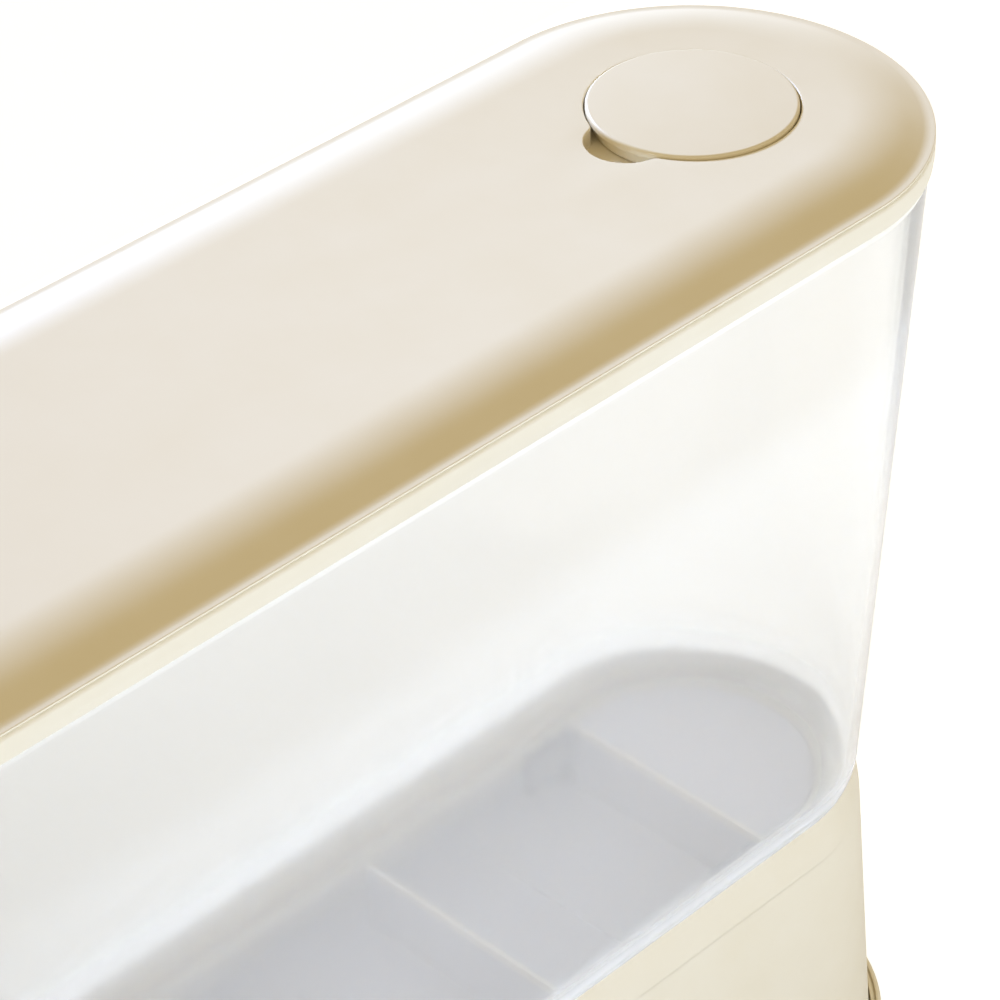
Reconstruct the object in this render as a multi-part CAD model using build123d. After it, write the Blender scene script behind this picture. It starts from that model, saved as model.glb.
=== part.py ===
from build123d import *
from math import ceil, cos, pi, radians, sin, sqrt, tan
import os

# A long oval grain dispenser: a clear tapered hopper stands in a cream base and carries a lift-off lid.
# A thumb button on the front end pushes a sprung gate, and grain falls into the cup in the base.
# Millimetres, Z up. The origin is the middle of the footprint, on the surface that the feet stand on.
# X runs along the length: the end with the round cap is +X, the dispensing end is -X.

# Outline: at every level a straight middle with two half rounds, the same distance apart
straight = 340.0
half_straight = straight / 2

# Clearances, and how far a cut runs past the face that it opens
slip = 0.3
seat = 0.1
overrun = 6.0
quarter_turn = 90
half_turn = 180

# Feet
foot_height = 2.0
foot_radius = 9.0
foot_recess = 1.0
foot_edge = 0.6
foot_end_inset = 27.2
foot_end_deg = 40.6
foot_side_inset = 23.3

# Plinth
plinth_height = 11.0
plinth_floor = 2.6
plinth_rim_width = 3.9
plinth_edge = 1.2
rim_groove_inset = 1.8
rim_groove_width = 0.9
rim_groove_depth = 1.6
bay_rest_width = 2.0
bay_rest_inset = 4.0
bay_rest_reach = 38.0

# Screws of the plinth and of the gate
screw_radius = 1.5
screw_head_radius = 3.2
screw_head_height = 1.3
screw_grip = 11.0
gate_screw_radius = 1.2
gate_screw_head_radius = 2.2
gate_screw_head_height = 1.6
gate_screw_grip = 5.0

# Base shell
base_rise = 118.5
base_step = 2.15
base_flare_deg = 4.0
base_wall = 2.6
shoulder_height = 15.5
shoulder_tuck = 3.3
shoulder_thickening = 2.6
flange_thickness = 2.5
window_land = 0.76
ledge_width = 3.0
ledge_height = 3.0

# Hopper
hopper_sink = 7.5
hopper_height = 256.3
hopper_wall = 2.6
hopper_round = 14.0
hopper_draft_deg = 3.36
hopper_mouth_radius = 73.7
neck_height = 5.7
neck_step = 1.4
neck_ramp = 4.0
neck_edge = 0.8
funnel_long = 44.0
funnel_side_margin = 4.2
funnel_side_run = 13.0
funnel_drop = 13.0
throat_long = 10.0
throat_corner = 3.0
funnel_corner = 8.0
tab_width = 22.0
tab_thickness = 2.0
tab_length = 16.0
tab_barb = 1.4
tab_rear_x = 145.0
tab_front_x = -75.0

# Deck of the base
deck_drop = 27.0
deck_thickness = 3.0
shelf_front_reach = 11.0
shelf_wall = 2.0
rib_pitch = 100.0
rib_count = 2
rib_thickness = 1.6
deck_groove_width = 0.9
deck_groove_depth = 0.8
post_radius = 5.0
post_inset = 13.3
post_middle_x = 35.0
post_front_x = -100.0
boss_radius = 3.2

# Cup bay and measuring cup
bay_side_margin = 17.3
bay_wall = 2.0
bay_corner = 8.0
bay_back_reach = 48.0
cup_side_gap = 2.0
cup_back_gap = 4.0
cup_wall = 2.0
cup_height = 60.0
cup_head_gap = 4.5
cup_front_inset = 3.3
cup_corner = 10.0
cup_bottom_round = bay_corner - cup_side_gap
lip_reach = 10.0
lip_half_width = 20.0
lip_thickness = 2.6
lip_corner = 5.0

# Gate
gate_land = 1.0
gate_travel = throat_long + gate_land
gate_plate = 3.0
gate_side_land = 5.0
gate_front_reach = 34.0
gate_rear_reach = 30.0
housing_floor = 3.0
housing_front_reach = 37.0
housing_rear_reach = 78.0
rail_width = 4.6
cover_thickness = 3.0
cover_rear_reach = 19.0
collar_wall = 2.0
collar_height = 3.4
collar_gap = 0.5
outlet_gasket_thickness = 1.4
spout_gap = 0.5
spout_wall = 1.8
deck_spout_gap = 4.0
gate_screw_front_reach = 28.0
gate_screw_rear_reach = 13.0

# Spring and its rod
spring_axis_height = 6.3
spring_radius = 3.6
spring_wire_radius = 0.45
spring_turns = 9
spring_bend = 1.4
spring_gap_points = 40
spring_tab_half_width = 6.0
spring_tab_thickness = 3.0
spring_tab_height = 9.0
spring_stop_thickness = 3.0
spring_stop_half_width = 9.0
spring_stop_height = 13.0
rod_radius = 1.8
rod_front_gap = 5.0
rod_clearance = 0.5

# Button
button_radius = 12.0
button_stand = 9.3
button_length = 20.0
button_face = 4.0
button_wall = 2.0
button_edge = 1.6
button_dish_depth = 1.2
button_boss_half_width = 9.5
button_boss_half_height = 4.0
tongue_half_width = 7.0
tongue_tip_gap = 4.0
bezel_gap = 0.4
bezel_wall = 1.6
bezel_lip = 2.5
bezel_proud = 2.4
bezel_depth = 5.7
bezel_edge = 0.7
deck_notch_gap = 5.0

# Lid
lid_overhang = 1.3
lid_wall = 2.2
lid_skirt_height = 9.0
lid_edge = 0.7
ledge_top_width = 4.8
plateau_rise = 6.3
shoulder_width = 15.0
shoulder_foot_round = 1.6
lip_wall = 1.8
lip_depth = 7.3
lip_gap = 0.6
lid_gasket_thickness = 1.2
lid_gasket_gap = 0.2
lid_rib_thickness = 1.6
lid_rib_depth = 5.0
lid_rib_pitch = 85.0
lid_rib_count = 4

# Cap, its well and the desiccant basket
cap_radius = 33.1
cap_gap = 0.5
cap_proud = 1.0
cap_plate = 2.4
cap_edge = 1.1
cap_skirt_inset = 1.9
cap_skirt_wall = 2.0
cap_plug_depth = 8.4
cap_plug_wall = 2.2
well_depth = 5.8
well_wall = 2.0
notch_radius = 13.0
notch_offset = 29.7
notch_corner = 4.0
basket_radius = 26.2
basket_depth = 28.0
basket_wall = 1.5
basket_flange_width = 2.4
basket_flange_thickness = 1.2
basket_slot_width = 5.0
basket_slot_height = 14.0
basket_slot_count = 8
basket_floor_slot_pitch = 11.0
basket_floor_slot_count = 3
basket_floor_slot_share = 0.62
seal_wire_radius = 1.05
seal_gap = 0.4

# Levels, worked out from the sizes above
plinth_bottom = foot_height
plinth_top = plinth_bottom + plinth_height
shell_bottom = plinth_bottom + plinth_floor
base_top = plinth_top + base_rise
shoulder_bottom = base_top - shoulder_height
hopper_bottom = base_top - hopper_sink
hopper_top = hopper_bottom + hopper_height
hopper_floor_top = hopper_bottom + hopper_wall
neck_bottom = hopper_top - neck_height
neck_radius = hopper_mouth_radius - neck_step
deck_top = hopper_bottom - deck_drop
deck_bottom = deck_top - deck_thickness
rib_top = hopper_bottom - seat
bay_bottom = plinth_top + slip
bay_floor_top = bay_bottom + bay_wall
bay_ceiling = bay_floor_top + slip + cup_height + cup_head_gap
bay_top = bay_ceiling + bay_wall
channel_floor = deck_top + housing_floor
channel_top = channel_floor + gate_plate + 2 * slip
cover_top = channel_top + cover_thickness
spigot_bottom = cover_top + outlet_gasket_thickness
lid_under = hopper_top + slip + lid_gasket_thickness
lid_ledge = lid_under + lid_wall
plateau = lid_ledge + plateau_rise
well_floor = plateau - well_depth
cap_top = plateau + cap_proud
cap_under = cap_top - cap_plate

# Radii and places that several pieces share: the hopper's mouth sets the lid, and its foot sets the base
lid_radius = hopper_mouth_radius + lid_overhang
hopper_foot_radius = hopper_mouth_radius - (neck_bottom - hopper_bottom) * tan(radians(hopper_draft_deg))
flat_floor_radius = hopper_foot_radius - hopper_round
window_radius = flat_floor_radius - window_land
funnel_wide = 2 * (flat_floor_radius - funnel_side_margin)
throat_wide = funnel_wide - 2 * funnel_side_run
base_neck_radius = hopper_foot_radius + base_step
base_foot_radius = base_neck_radius + (shoulder_bottom - shell_bottom) * tan(radians(base_flare_deg))
plinth_radius = base_foot_radius + slip + plinth_rim_width
post_spread = base_neck_radius - post_inset
bay_half_width = base_neck_radius - bay_side_margin
cup_front_radius = base_neck_radius - cup_front_inset
gate_half_width = throat_wide / 2 + gate_side_land
throat_x = -half_straight
cap_x = half_straight
basket_inner_radius = basket_radius - basket_wall
spring_axis = channel_floor + spring_axis_height
button_axis = channel_floor + slip + gate_plate / 2
front_wall_reach = base_foot_radius - (button_axis - shell_bottom) * tan(radians(base_flare_deg))
bezel_inner_reach = front_wall_reach - base_wall - bezel_depth
button_front_reach = front_wall_reach + bezel_proud + button_stand
tongue_tip_reach = button_front_reach - button_face - tongue_tip_gap
gate_rear = throat_x + gate_rear_reach
deck_notch_reach = button_front_reach - button_length - gate_travel - deck_notch_gap
stop_front = throat_x + housing_rear_reach - spring_stop_thickness
bay_back = throat_x + bay_back_reach
rail_half_width = gate_half_width + slip + rail_width
spigot_long = throat_long + 2 * hopper_wall
spigot_wide = throat_wide + 2 * hopper_wall
spout_long = throat_long + 2 * (spout_gap + spout_wall)
spout_wide = throat_wide + 2 * (spout_gap + spout_wall)


def profile(*points):
    """A closed outline of straight lines, each point a radius and a height."""
    return make_face(Polyline(*points, close=True))


def band(inner, outer, low, high):
    """A rectangle between two radii and two heights."""
    return profile((inner, low), (outer, low), (outer, high), (inner, high))


def rounded(outline, radius, *corners):
    """The outline with the corners nearest to the given points rounded."""

    def nearest(corner):
        return min(outline.vertices(), key=lambda vertex: (Vector(*corner) - vertex.center()).length)

    return fillet([nearest(corner) for corner in corners], radius)


def around(outline):
    """Carries an outline of radius and height around the oval: two half turns and two straight runs."""
    face = Plane.XZ * outline
    end = revolve(Rot(0, 0, -quarter_turn) * face, Axis.Z, half_turn)
    side = extrude(Pos(-half_straight, 0, 0) * Rot(0, 0, quarter_turn) * face, straight, dir=(1, 0, 0))
    turned = Rot(0, 0, half_turn)
    return Pos(half_straight, 0, 0) * end + Pos(-half_straight, 0, 0) * turned * end + side + turned * side


def across(x, height, outline):
    """Stands a flat outline, drawn as width and height, square to X at a place."""
    return Plane(origin=(x, 0, height), x_dir=(0, 1, 0), z_dir=(1, 0, 0)) * outline


def turned_about(x, outline):
    """Turns an outline of radius and height into a round piece on an upright axis at x."""
    return Pos(x, 0, 0) * revolve(Plane.XZ * outline, Axis.Z)


def oval(radius, low, high):
    """A straight-walled oval block."""
    return around(band(0, radius, low, high))


def block(x_from, x_to, y_from, y_to, low, high):
    """A box between two corners."""
    centre = Pos((x_from + x_to) / 2, (y_from + y_to) / 2, (low + high) / 2)
    return centre * Box(x_to - x_from, y_to - y_from, high - low)


def upright(radius, x, y, low, high):
    """A round bar along Z."""
    return Pos(x, y, (low + high) / 2) * Cylinder(radius, high - low)


def level_bar(radius, x_from, x_to, height):
    """A round bar along X on the centre plane."""
    return Pos((x_from + x_to) / 2, 0, height) * Rot(0, quarter_turn, 0) * Cylinder(radius, x_to - x_from)


def pad(long, wide, corner, low, high, x=throat_x):
    """An upright block with a rounded rectangular plan."""
    return Pos(x, 0, low) * extrude(RectangleRounded(long, wide, corner), high - low)


def mirrored_pair(piece):
    """The piece and its mirror image across the centre plane."""
    return [piece, mirror(piece, Plane.XZ)]


def wall_radius(height):
    """Outer radius of the hopper's drafted wall at a height."""
    return hopper_mouth_radius - (neck_bottom - height) * tan(radians(hopper_draft_deg))


def hopper_outline(grow, top):
    """Half section of the hopper's outer form below the neck, grown outwards by a distance."""
    spread = grow / cos(radians(hopper_draft_deg))
    floor = hopper_bottom - grow
    corner = (wall_radius(floor) + spread, floor)
    outline = profile((0, floor), corner, (wall_radius(top) + spread, top), (0, top))
    return rounded(outline, hopper_round + grow, corner)


def hopper_snap_tab(x):
    """A springy tab under the hopper's floor whose barb catches below the base's flange."""
    face = window_radius - slip
    tip = hopper_bottom - tab_length
    catch = hopper_bottom - slip - flange_thickness - slip
    section = Polyline(
        (face - tab_thickness, hopper_bottom),
        (face, hopper_bottom),
        (face, catch),
        (face + tab_barb, catch),
        (face, tip),
        (face - tab_thickness, tip),
        close=True,
    )
    return extrude(across(x - tab_width / 2, 0, make_face(section)), tab_width, dir=(1, 0, 0))


def funnel(long, wide, throat, cross, grow):
    """The sloping throat below the hopper's floor, from the funnel's mouth down to the spigot's end."""
    neck = hopper_floor_top - funnel_drop
    mouth_plan = Pos(throat_x, 0, hopper_floor_top) * RectangleRounded(long, wide, funnel_corner)
    neck_plan = Pos(throat_x, 0, neck) * RectangleRounded(throat, cross, throat_corner + grow)
    return loft([neck_plan, mouth_plan], ruled=True)


def hopper():
    """Clear tapered bin with a stepped neck, a rounded bottom edge and an outlet funnel at the front."""
    neck_inner = neck_radius - hopper_wall
    ramp = neck_bottom - neck_ramp
    outer = hopper_outline(0, neck_bottom) + band(0, neck_radius, neck_bottom, hopper_top)
    neck_hollow = profile(
        (0, ramp),
        (wall_radius(ramp) - hopper_wall / cos(radians(hopper_draft_deg)), ramp),
        (neck_inner, neck_bottom),
        (neck_inner, hopper_top + overrun),
        (0, hopper_top + overrun),
    )
    section = outer - (hopper_outline(-hopper_wall, ramp) + neck_hollow)
    section = rounded(section, neck_edge, (neck_radius, hopper_top), (neck_inner, hopper_top))
    body = around(section)
    neck = hopper_floor_top - funnel_drop
    side = 2 * hopper_wall
    body += funnel(funnel_long + side, funnel_wide + side, spigot_long, spigot_wide, hopper_wall)
    body += pad(spigot_long, spigot_wide, throat_corner + hopper_wall, spigot_bottom, neck)
    body -= funnel(funnel_long, funnel_wide, throat_long, throat_wide, 0)
    body -= pad(throat_long, throat_wide, throat_corner, spigot_bottom - overrun, neck)
    for x in (tab_rear_x, tab_front_x):
        body += mirrored_pair(hopper_snap_tab(x))
    return body


def outlet_gasket():
    """Flat seal between the hopper's spigot and the gate's cover."""
    ring = pad(spigot_long, spigot_wide, throat_corner + hopper_wall, cover_top, spigot_bottom)
    return ring - pad(throat_long, throat_wide, throat_corner, cover_top - overrun, spigot_bottom + overrun)


def base_outline():
    """Half section of the base's outer form: a flared wall that curves in to a shoulder."""
    foot = Vector(base_foot_radius, shell_bottom)
    wall_end = Vector(base_neck_radius, shoulder_bottom)
    top = Vector(base_neck_radius - shoulder_tuck, base_top)
    wall = Polyline((0, shell_bottom), foot, wall_end)
    shoulder = TangentArc(wall_end, top, tangent=wall_end - foot)
    close_off = Polyline(top, (0, base_top), (0, shell_bottom))
    return make_face(wall + shoulder + close_off)


def base_wall_radius(height):
    """Outer radius of the base's flared wall at a height."""
    return base_foot_radius - (height - shell_bottom) * tan(radians(base_flare_deg))


def bay_section(grow):
    """The cup bay's rounded opening, seen from the front, grown outwards by a distance."""
    width = 2 * (bay_half_width + bay_wall + grow)
    height = bay_top - bay_bottom + 2 * grow
    return RectangleRounded(width, height, bay_corner + bay_wall + grow)


def bay_tunnel(grow, x_from, x_to):
    """A bar along X with the cup bay's section."""
    middle = (bay_top + bay_bottom) / 2
    return extrude(across(x_from, middle, bay_section(grow)), x_to - x_from, dir=(1, 0, 0))


def base_shell():
    """Flared wall with a cradle for the hopper's rounded edge, a window under its floor and a cup opening."""
    inner_neck = base_neck_radius - base_wall
    cavity = profile(
        (0, shell_bottom - overrun),
        (base_wall_radius(shell_bottom - overrun) - base_wall, shell_bottom - overrun),
        (inner_neck, shoulder_bottom),
        (inner_neck - shoulder_thickening, base_top),
        (0, base_top),
    )
    cradle = hopper_outline(slip, base_top + overrun)
    under_flange = hopper_outline(slip + flange_thickness, base_top + overrun)
    window = band(0, window_radius, shell_bottom, base_top)
    ledge_outer = base_wall_radius(deck_bottom) - base_wall / 2
    ledge_inner = base_wall_radius(deck_bottom) - base_wall - ledge_width
    ledge = band(ledge_inner, ledge_outer, deck_bottom - ledge_height, deck_bottom)
    section = base_outline() - cradle - (cavity - under_flange) - window + ledge
    front = -half_straight - plinth_radius
    shell = around(section)
    shell -= bay_tunnel(slip, front, throat_x)
    bore = button_radius + bezel_gap + bezel_wall + seat
    return shell - level_bar(bore, front, throat_x - bezel_inner_reach + overrun, button_axis)


def d_block(radius, front, low, high):
    """The rear end of an oval block, cut straight across at a place on X."""
    behind = block(front, half_straight + radius + overrun, -radius - overrun, radius + overrun, low, high)
    return oval(radius, low, high) & behind


def deck_posts():
    """Where the deck's screw posts stand."""
    return [(x, side * post_spread) for x in (half_straight, post_middle_x, post_front_x) for side in (-1, 1)]


def gate_screws():
    """Where the gate's screws stand, in the middle of the rails."""
    reach = rail_half_width - rail_width / 2
    ends = (throat_x - gate_screw_front_reach, throat_x + gate_screw_rear_reach)
    return [(x, side * reach) for x in ends for side in (-1, 1)]


def spout_hole(gap, low, high):
    """The opening that a plate leaves for the gate's spout, with a gap all round."""
    corner = throat_corner + spout_wall + gap
    return pad(spout_long + 2 * gap, spout_wide + 2 * gap, corner, low, high)


def deck_tray():
    """Deck inside the base: a boxed end shelf and cross ribs bear the hopper's floor, posts bear the deck."""
    deck_radius = base_wall_radius(deck_top) - base_wall - slip
    inside = window_radius - slip
    shelf_front = half_straight - shelf_front_reach
    tray = oval(deck_radius, deck_bottom, deck_top)
    tray += d_block(inside, shelf_front, deck_bottom, rib_top)
    under_shelf = rib_top - shelf_wall
    tray -= d_block(inside - shelf_wall, shelf_front + shelf_wall, deck_bottom - overrun, under_shelf)
    for number in range(1, rib_count + 1):
        x = shelf_front - number * rib_pitch
        tray += block(x - rib_thickness, x, -inside, inside, deck_bottom, rib_top)
    below = deck_bottom - overrun
    above = deck_top + overrun
    groove_x = shelf_front - rib_pitch / 2
    groove_floor = deck_top - deck_groove_depth
    tray -= block(groove_x, groove_x + deck_groove_width, -inside, inside, groove_floor, above)
    for x, y in deck_posts():
        tray += upright(post_radius, x, y, shell_bottom, deck_bottom)
    post_hole_end = shell_bottom + screw_grip + overrun
    for x, y in deck_posts():
        tray -= upright(screw_radius + seat, x, y, shell_bottom - overrun, post_hole_end)
    boss_end = deck_bottom - gate_screw_grip
    for x, y in gate_screws():
        tray += upright(boss_radius, x, y, boss_end, deck_bottom)
    for x, y in gate_screws():
        tray -= upright(gate_screw_radius + seat, x, y, boss_end - overrun, above)
    tray -= spout_hole(deck_spout_gap, below, above)
    notch = button_radius + bezel_gap + bezel_wall + slip
    front = -half_straight - plinth_radius
    return tray - block(front, throat_x - deck_notch_reach, -notch, notch, below, above)


def foot_places():
    """Where the rubber feet sit: two at each end and two at the middle."""
    reach = plinth_radius - foot_end_inset
    ends = half_straight + reach * cos(radians(foot_end_deg))
    spread = reach * sin(radians(foot_end_deg))
    corners = [(along * ends, side * spread) for along in (-1, 1) for side in (-1, 1)]
    return corners + [(0, side * (plinth_radius - foot_side_inset)) for side in (-1, 1)]


def plinth():
    """Foot plate with a raised rim, a groove round the rim's top, screw holes and recesses for the feet."""
    rim_inner = plinth_radius - plinth_rim_width
    groove_outer = plinth_radius - rim_groove_inset
    plate = band(0, plinth_radius, plinth_bottom, shell_bottom)
    rim = band(rim_inner, plinth_radius, plinth_bottom, plinth_top)
    groove_floor = plinth_top - rim_groove_depth
    groove = band(groove_outer - rim_groove_width, groove_outer, groove_floor, plinth_top + overrun)
    section = plate + rim - groove
    section = rounded(section, plinth_edge, (plinth_radius, plinth_top), (plinth_radius, plinth_bottom))
    piece = around(section)
    for reach in (-bay_rest_reach, bay_rest_reach):
        x = throat_x + reach
        width = bay_half_width - bay_rest_inset
        piece += block(x, x + bay_rest_width, -width, width, shell_bottom - seat, bay_bottom - seat)
    for x, y in foot_places():
        piece -= upright(foot_radius + seat, x, y, plinth_bottom - overrun, plinth_bottom + foot_recess)
    for x, y in deck_posts():
        piece -= upright(screw_radius + slip, x, y, plinth_bottom - overrun, shell_bottom + overrun)
        sunk = plinth_bottom + screw_head_height
        piece -= upright(screw_head_radius + slip, x, y, plinth_bottom - overrun, sunk)
    return piece


def plinth_screws():
    """Screws from under the plinth into the deck's posts."""
    seat_level = plinth_bottom + screw_head_height
    heads = [upright(screw_head_radius, x, y, plinth_bottom, seat_level) for x, y in deck_posts()]
    shanks = [upright(screw_radius, x, y, seat_level, shell_bottom + screw_grip) for x, y in deck_posts()]
    return Compound([head + shank for head, shank in zip(heads, shanks)])


def rubber_feet():
    """Round pads pressed into the plinth's recesses."""
    section = rounded(band(0, foot_radius, 0, foot_height + foot_recess), foot_edge, (foot_radius, 0))
    pad_turned = turned_about(0, section)
    return Compound([Pos(x, y, 0) * pad_turned for x, y in foot_places()])


def cup_bay():
    """Moulded alcove for the cup: a tunnel closed at the back, with a hole in its roof for the spout."""
    front = -half_straight - plinth_radius
    outer = bay_tunnel(0, front, bay_back + bay_wall)
    inner = bay_tunnel(-bay_wall, front - overrun, bay_back)
    liner = (outer - inner) & around(base_outline())
    return liner - spout_hole(slip, bay_ceiling - overrun, bay_top + overrun)


def cup_plan(inset):
    """The cup's plan: straight sides, a rounded back and a front that follows the base's round end."""
    half_width = bay_half_width - cup_side_gap
    back = bay_back - cup_back_gap
    reach = half_straight + cup_front_radius
    bar = Pos((back - reach) / 2, 0) * Rectangle(back + reach, 2 * half_width)
    rear = Pos((throat_x + back) / 2, 0) * Rectangle(back - throat_x, 2 * cup_front_radius)
    plan = bar & (Pos(throat_x, 0) * Circle(cup_front_radius) + rear)
    plan = fillet(plan.vertices(), cup_corner)
    return offset(plan, -inset) if inset else plan


def measuring_cup():
    """Clear cup with a round front and a pull lip at its rim."""
    bottom = bay_floor_top + slip
    top = bottom + cup_height
    outer = extrude(Pos(0, 0, bottom) * cup_plan(0), cup_height)
    outer = fillet(outer.faces().sort_by(Axis.Z)[0].edges(), cup_bottom_round)
    inner = extrude(Pos(0, 0, bottom + cup_wall) * cup_plan(cup_wall), cup_height)
    inner = fillet(inner.faces().sort_by(Axis.Z)[0].edges(), cup_bottom_round - cup_wall)
    ring = Circle(cup_front_radius + lip_reach) - Circle(cup_front_radius - cup_wall)
    reach = cup_front_radius + lip_reach + overrun
    strip = Pos(-reach, 0) * Rectangle(2 * reach, 2 * lip_half_width)
    lip_plan = fillet((ring & strip).vertices().group_by(Axis.X)[0], lip_corner)
    lip = extrude(Pos(throat_x, 0, top - lip_thickness) * lip_plan, lip_thickness)
    return outer - inner + lip


def gate_housing():
    """Guide of the gate: a floor with two rails, a spout that passes the deck, and a stop for the spring."""
    front = throat_x - housing_front_reach
    rear = throat_x + housing_rear_reach
    side = gate_half_width + slip
    body = block(front, rear, -rail_half_width, rail_half_width, deck_top, channel_floor)
    for rail in mirrored_pair(block(front, rear, side, rail_half_width, channel_floor, channel_top)):
        body += rail
    body += pad(spout_long, spout_wide, throat_corner + spout_wall, bay_ceiling, deck_top)
    stop_top = channel_floor + spring_stop_height
    half = spring_stop_half_width
    body += block(stop_front, rear, -half, half, channel_floor, stop_top)
    long = throat_long + 2 * spout_gap
    wide = throat_wide + 2 * spout_gap
    body -= pad(long, wide, throat_corner, bay_ceiling - overrun, channel_floor + overrun)
    body -= level_bar(rod_radius + seat / 2, stop_front - overrun, rear + overrun, spring_axis)
    for x, y in gate_screws():
        body -= upright(gate_screw_radius + seat, x, y, deck_top - overrun, channel_top + overrun)
    return body


def gate_cover():
    """Plate over the gate, with a collar round the hopper's spigot."""
    front = throat_x - housing_front_reach
    rear = throat_x + cover_rear_reach
    body = block(front, rear, -rail_half_width, rail_half_width, channel_top, cover_top)
    gap = 2 * collar_gap
    grow = gap + 2 * collar_wall
    top = cover_top + collar_height
    corner = throat_corner + hopper_wall + collar_gap
    body += pad(spigot_long + grow, spigot_wide + grow, corner + collar_wall, cover_top, top)
    body -= pad(spigot_long + gap, spigot_wide + gap, corner, cover_top, top + overrun)
    body -= pad(throat_long, throat_wide, throat_corner, channel_top - overrun, cover_top + overrun)
    for x, y in gate_screws():
        body -= upright(gate_screw_radius + seat, x, y, channel_top - overrun, cover_top + overrun)
    return body


def housing_screws():
    """Screws through the gate's cover and rails into the deck's bosses."""
    head_top = cover_top + gate_screw_head_height
    tip = deck_bottom - gate_screw_grip
    heads = [upright(gate_screw_head_radius, x, y, cover_top, head_top) for x, y in gate_screws()]
    shanks = [upright(gate_screw_radius, x, y, tip, cover_top) for x, y in gate_screws()]
    return Compound([head + shank for head, shank in zip(heads, shanks)])


def gate_slide():
    """Shutter plate with a window, a tongue for the button and an upright tab for the spring."""
    low = channel_floor + slip
    high = low + gate_plate
    front = throat_x - gate_front_reach
    plate = block(front, gate_rear, -gate_half_width, gate_half_width, low, high)
    window_x = throat_x - gate_travel
    plate -= pad(throat_long, throat_wide, throat_corner, low - overrun, high + overrun, window_x)
    tongue = tongue_half_width
    plate += block(throat_x - tongue_tip_reach, front, -tongue, tongue, low, high)
    half = spring_tab_half_width
    tab_front = gate_rear - spring_tab_thickness
    plate += block(tab_front, gate_rear, -half, half, high, high + spring_tab_height)
    rod_hole = rod_radius + rod_clearance
    return plate - level_bar(rod_hole, tab_front - overrun, gate_rear + overrun, spring_axis)


def push_button():
    """Round thumb button with a dished face, hollow behind, gripping the gate's tongue."""
    front = throat_x - button_front_reach
    back = front + button_length
    ball = (button_radius**2 + button_dish_depth**2) / (2 * button_dish_depth)
    body = level_bar(button_radius, front, back, button_axis)
    body = fillet(body.edges().sort_by(Axis.X)[0], button_edge)
    body -= Pos(front - ball + button_dish_depth, 0, button_axis) * Sphere(ball)
    body -= level_bar(button_radius - button_wall, front + button_face, back + overrun, button_axis)
    low = button_axis - button_boss_half_height
    high = button_axis + button_boss_half_height
    half_width = button_boss_half_width
    boss = block(front + button_face - seat, back, -half_width, half_width, low, high)
    body += boss & level_bar(button_radius - seat, front, back, button_axis)
    slot = tongue_half_width + seat
    thick = gate_plate / 2 + seat
    tip = throat_x - tongue_tip_reach - seat
    return body - block(tip, back + overrun, -slot, slot, button_axis - thick, button_axis + thick)


def button_bezel():
    """Ring round the button: a sleeve through the base's wall and a lip that follows the wall."""
    inner = button_radius + bezel_gap
    sleeve = inner + bezel_wall
    wall_x = throat_x - front_wall_reach
    front = wall_x - bezel_proud
    back = throat_x - bezel_inner_reach
    lip = level_bar(sleeve + bezel_lip, front, back, button_axis)
    lip = fillet(lip.edges().sort_by(Axis.X)[0], bezel_edge)
    ring = lip - Pos(-seat, 0, 0) * around(base_outline()) + level_bar(sleeve, wall_x, back, button_axis)
    return ring - level_bar(inner, front - overrun, back + overrun, button_axis)


def spring_guide_rod():
    """Steel rod that keeps the spring straight, fixed in the housing's stop."""
    front = gate_rear - spring_tab_thickness - rod_front_gap
    return level_bar(rod_radius, front, throat_x + housing_rear_reach, spring_axis)


def biarc(start, start_way, end, end_way):
    """Two arcs that meet smoothly: equal handles along both tangents give the joint between them."""
    span = end - start
    ways = start_way + end_way
    a = 2 * (1 - start_way.dot(end_way))
    b = 2 * span.dot(ways)
    handle = (sqrt(b * b + 4 * a * span.dot(span)) - b) / (2 * a)
    joint = (start + start_way * handle + end - end_way * handle) * 0.5
    first = TangentArc(start, joint, tangent=start_way)
    second = TangentArc(joint, end, tangent=first % 1)
    return [first, second]


def least_gap(path, apart):
    """Least clear distance between points of the wire that lie further apart along it than a given length."""
    steps = spring_gap_points * spring_turns
    points = [path @ (number / steps) for number in range(steps + 1)]
    skip = ceil(apart / path.length * steps)
    nearest = min((b - a).length for number, a in enumerate(points) for b in points[number + skip :])
    return nearest - 2 * spring_wire_radius


def gate_spring():
    """Coil spring: quarter turns of a helix, each a pair of arcs, and ends bent square to tab and stop."""
    quarters = 4
    end_run = 2 * spring_wire_radius
    x_from = gate_rear + slip + end_run + spring_bend
    x_to = stop_front - slip - end_run - spring_bend
    rise = (x_to - x_from) / (2 * pi * spring_turns)

    def place(angle):
        across_axis = Vector(0, sin(angle), cos(angle)) * spring_radius
        return Vector(x_from + rise * angle, 0, spring_axis) + across_axis

    def way(angle):
        return Vector(rise, spring_radius * cos(angle), -spring_radius * sin(angle)).normalized()

    angles = [2 * pi * number / quarters for number in range(quarters * spring_turns + 1)]
    along = Vector(1, 0, 0)
    bend = Vector(spring_bend, spring_bend, 0)
    first = place(angles[0]) - bend
    last = place(angles[-1]) + bend
    edges = [Line(first - along * end_run, first)]
    edges += biarc(first, along, place(angles[0]), way(angles[0]))
    for start, end in zip(angles, angles[1:]):
        edges += biarc(place(start), way(start), place(end), way(end))
    edges += biarc(place(angles[-1]), way(angles[-1]), last, along)
    edges += [Line(last, last + along * end_run)]
    path = Wire(edges)
    print("gate_spring least gap between turns:", round(least_gap(path, pi * spring_radius), 3))
    section = Plane(path @ 0, z_dir=path % 0) * Circle(spring_wire_radius)
    return sweep(section, path=path)


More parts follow.
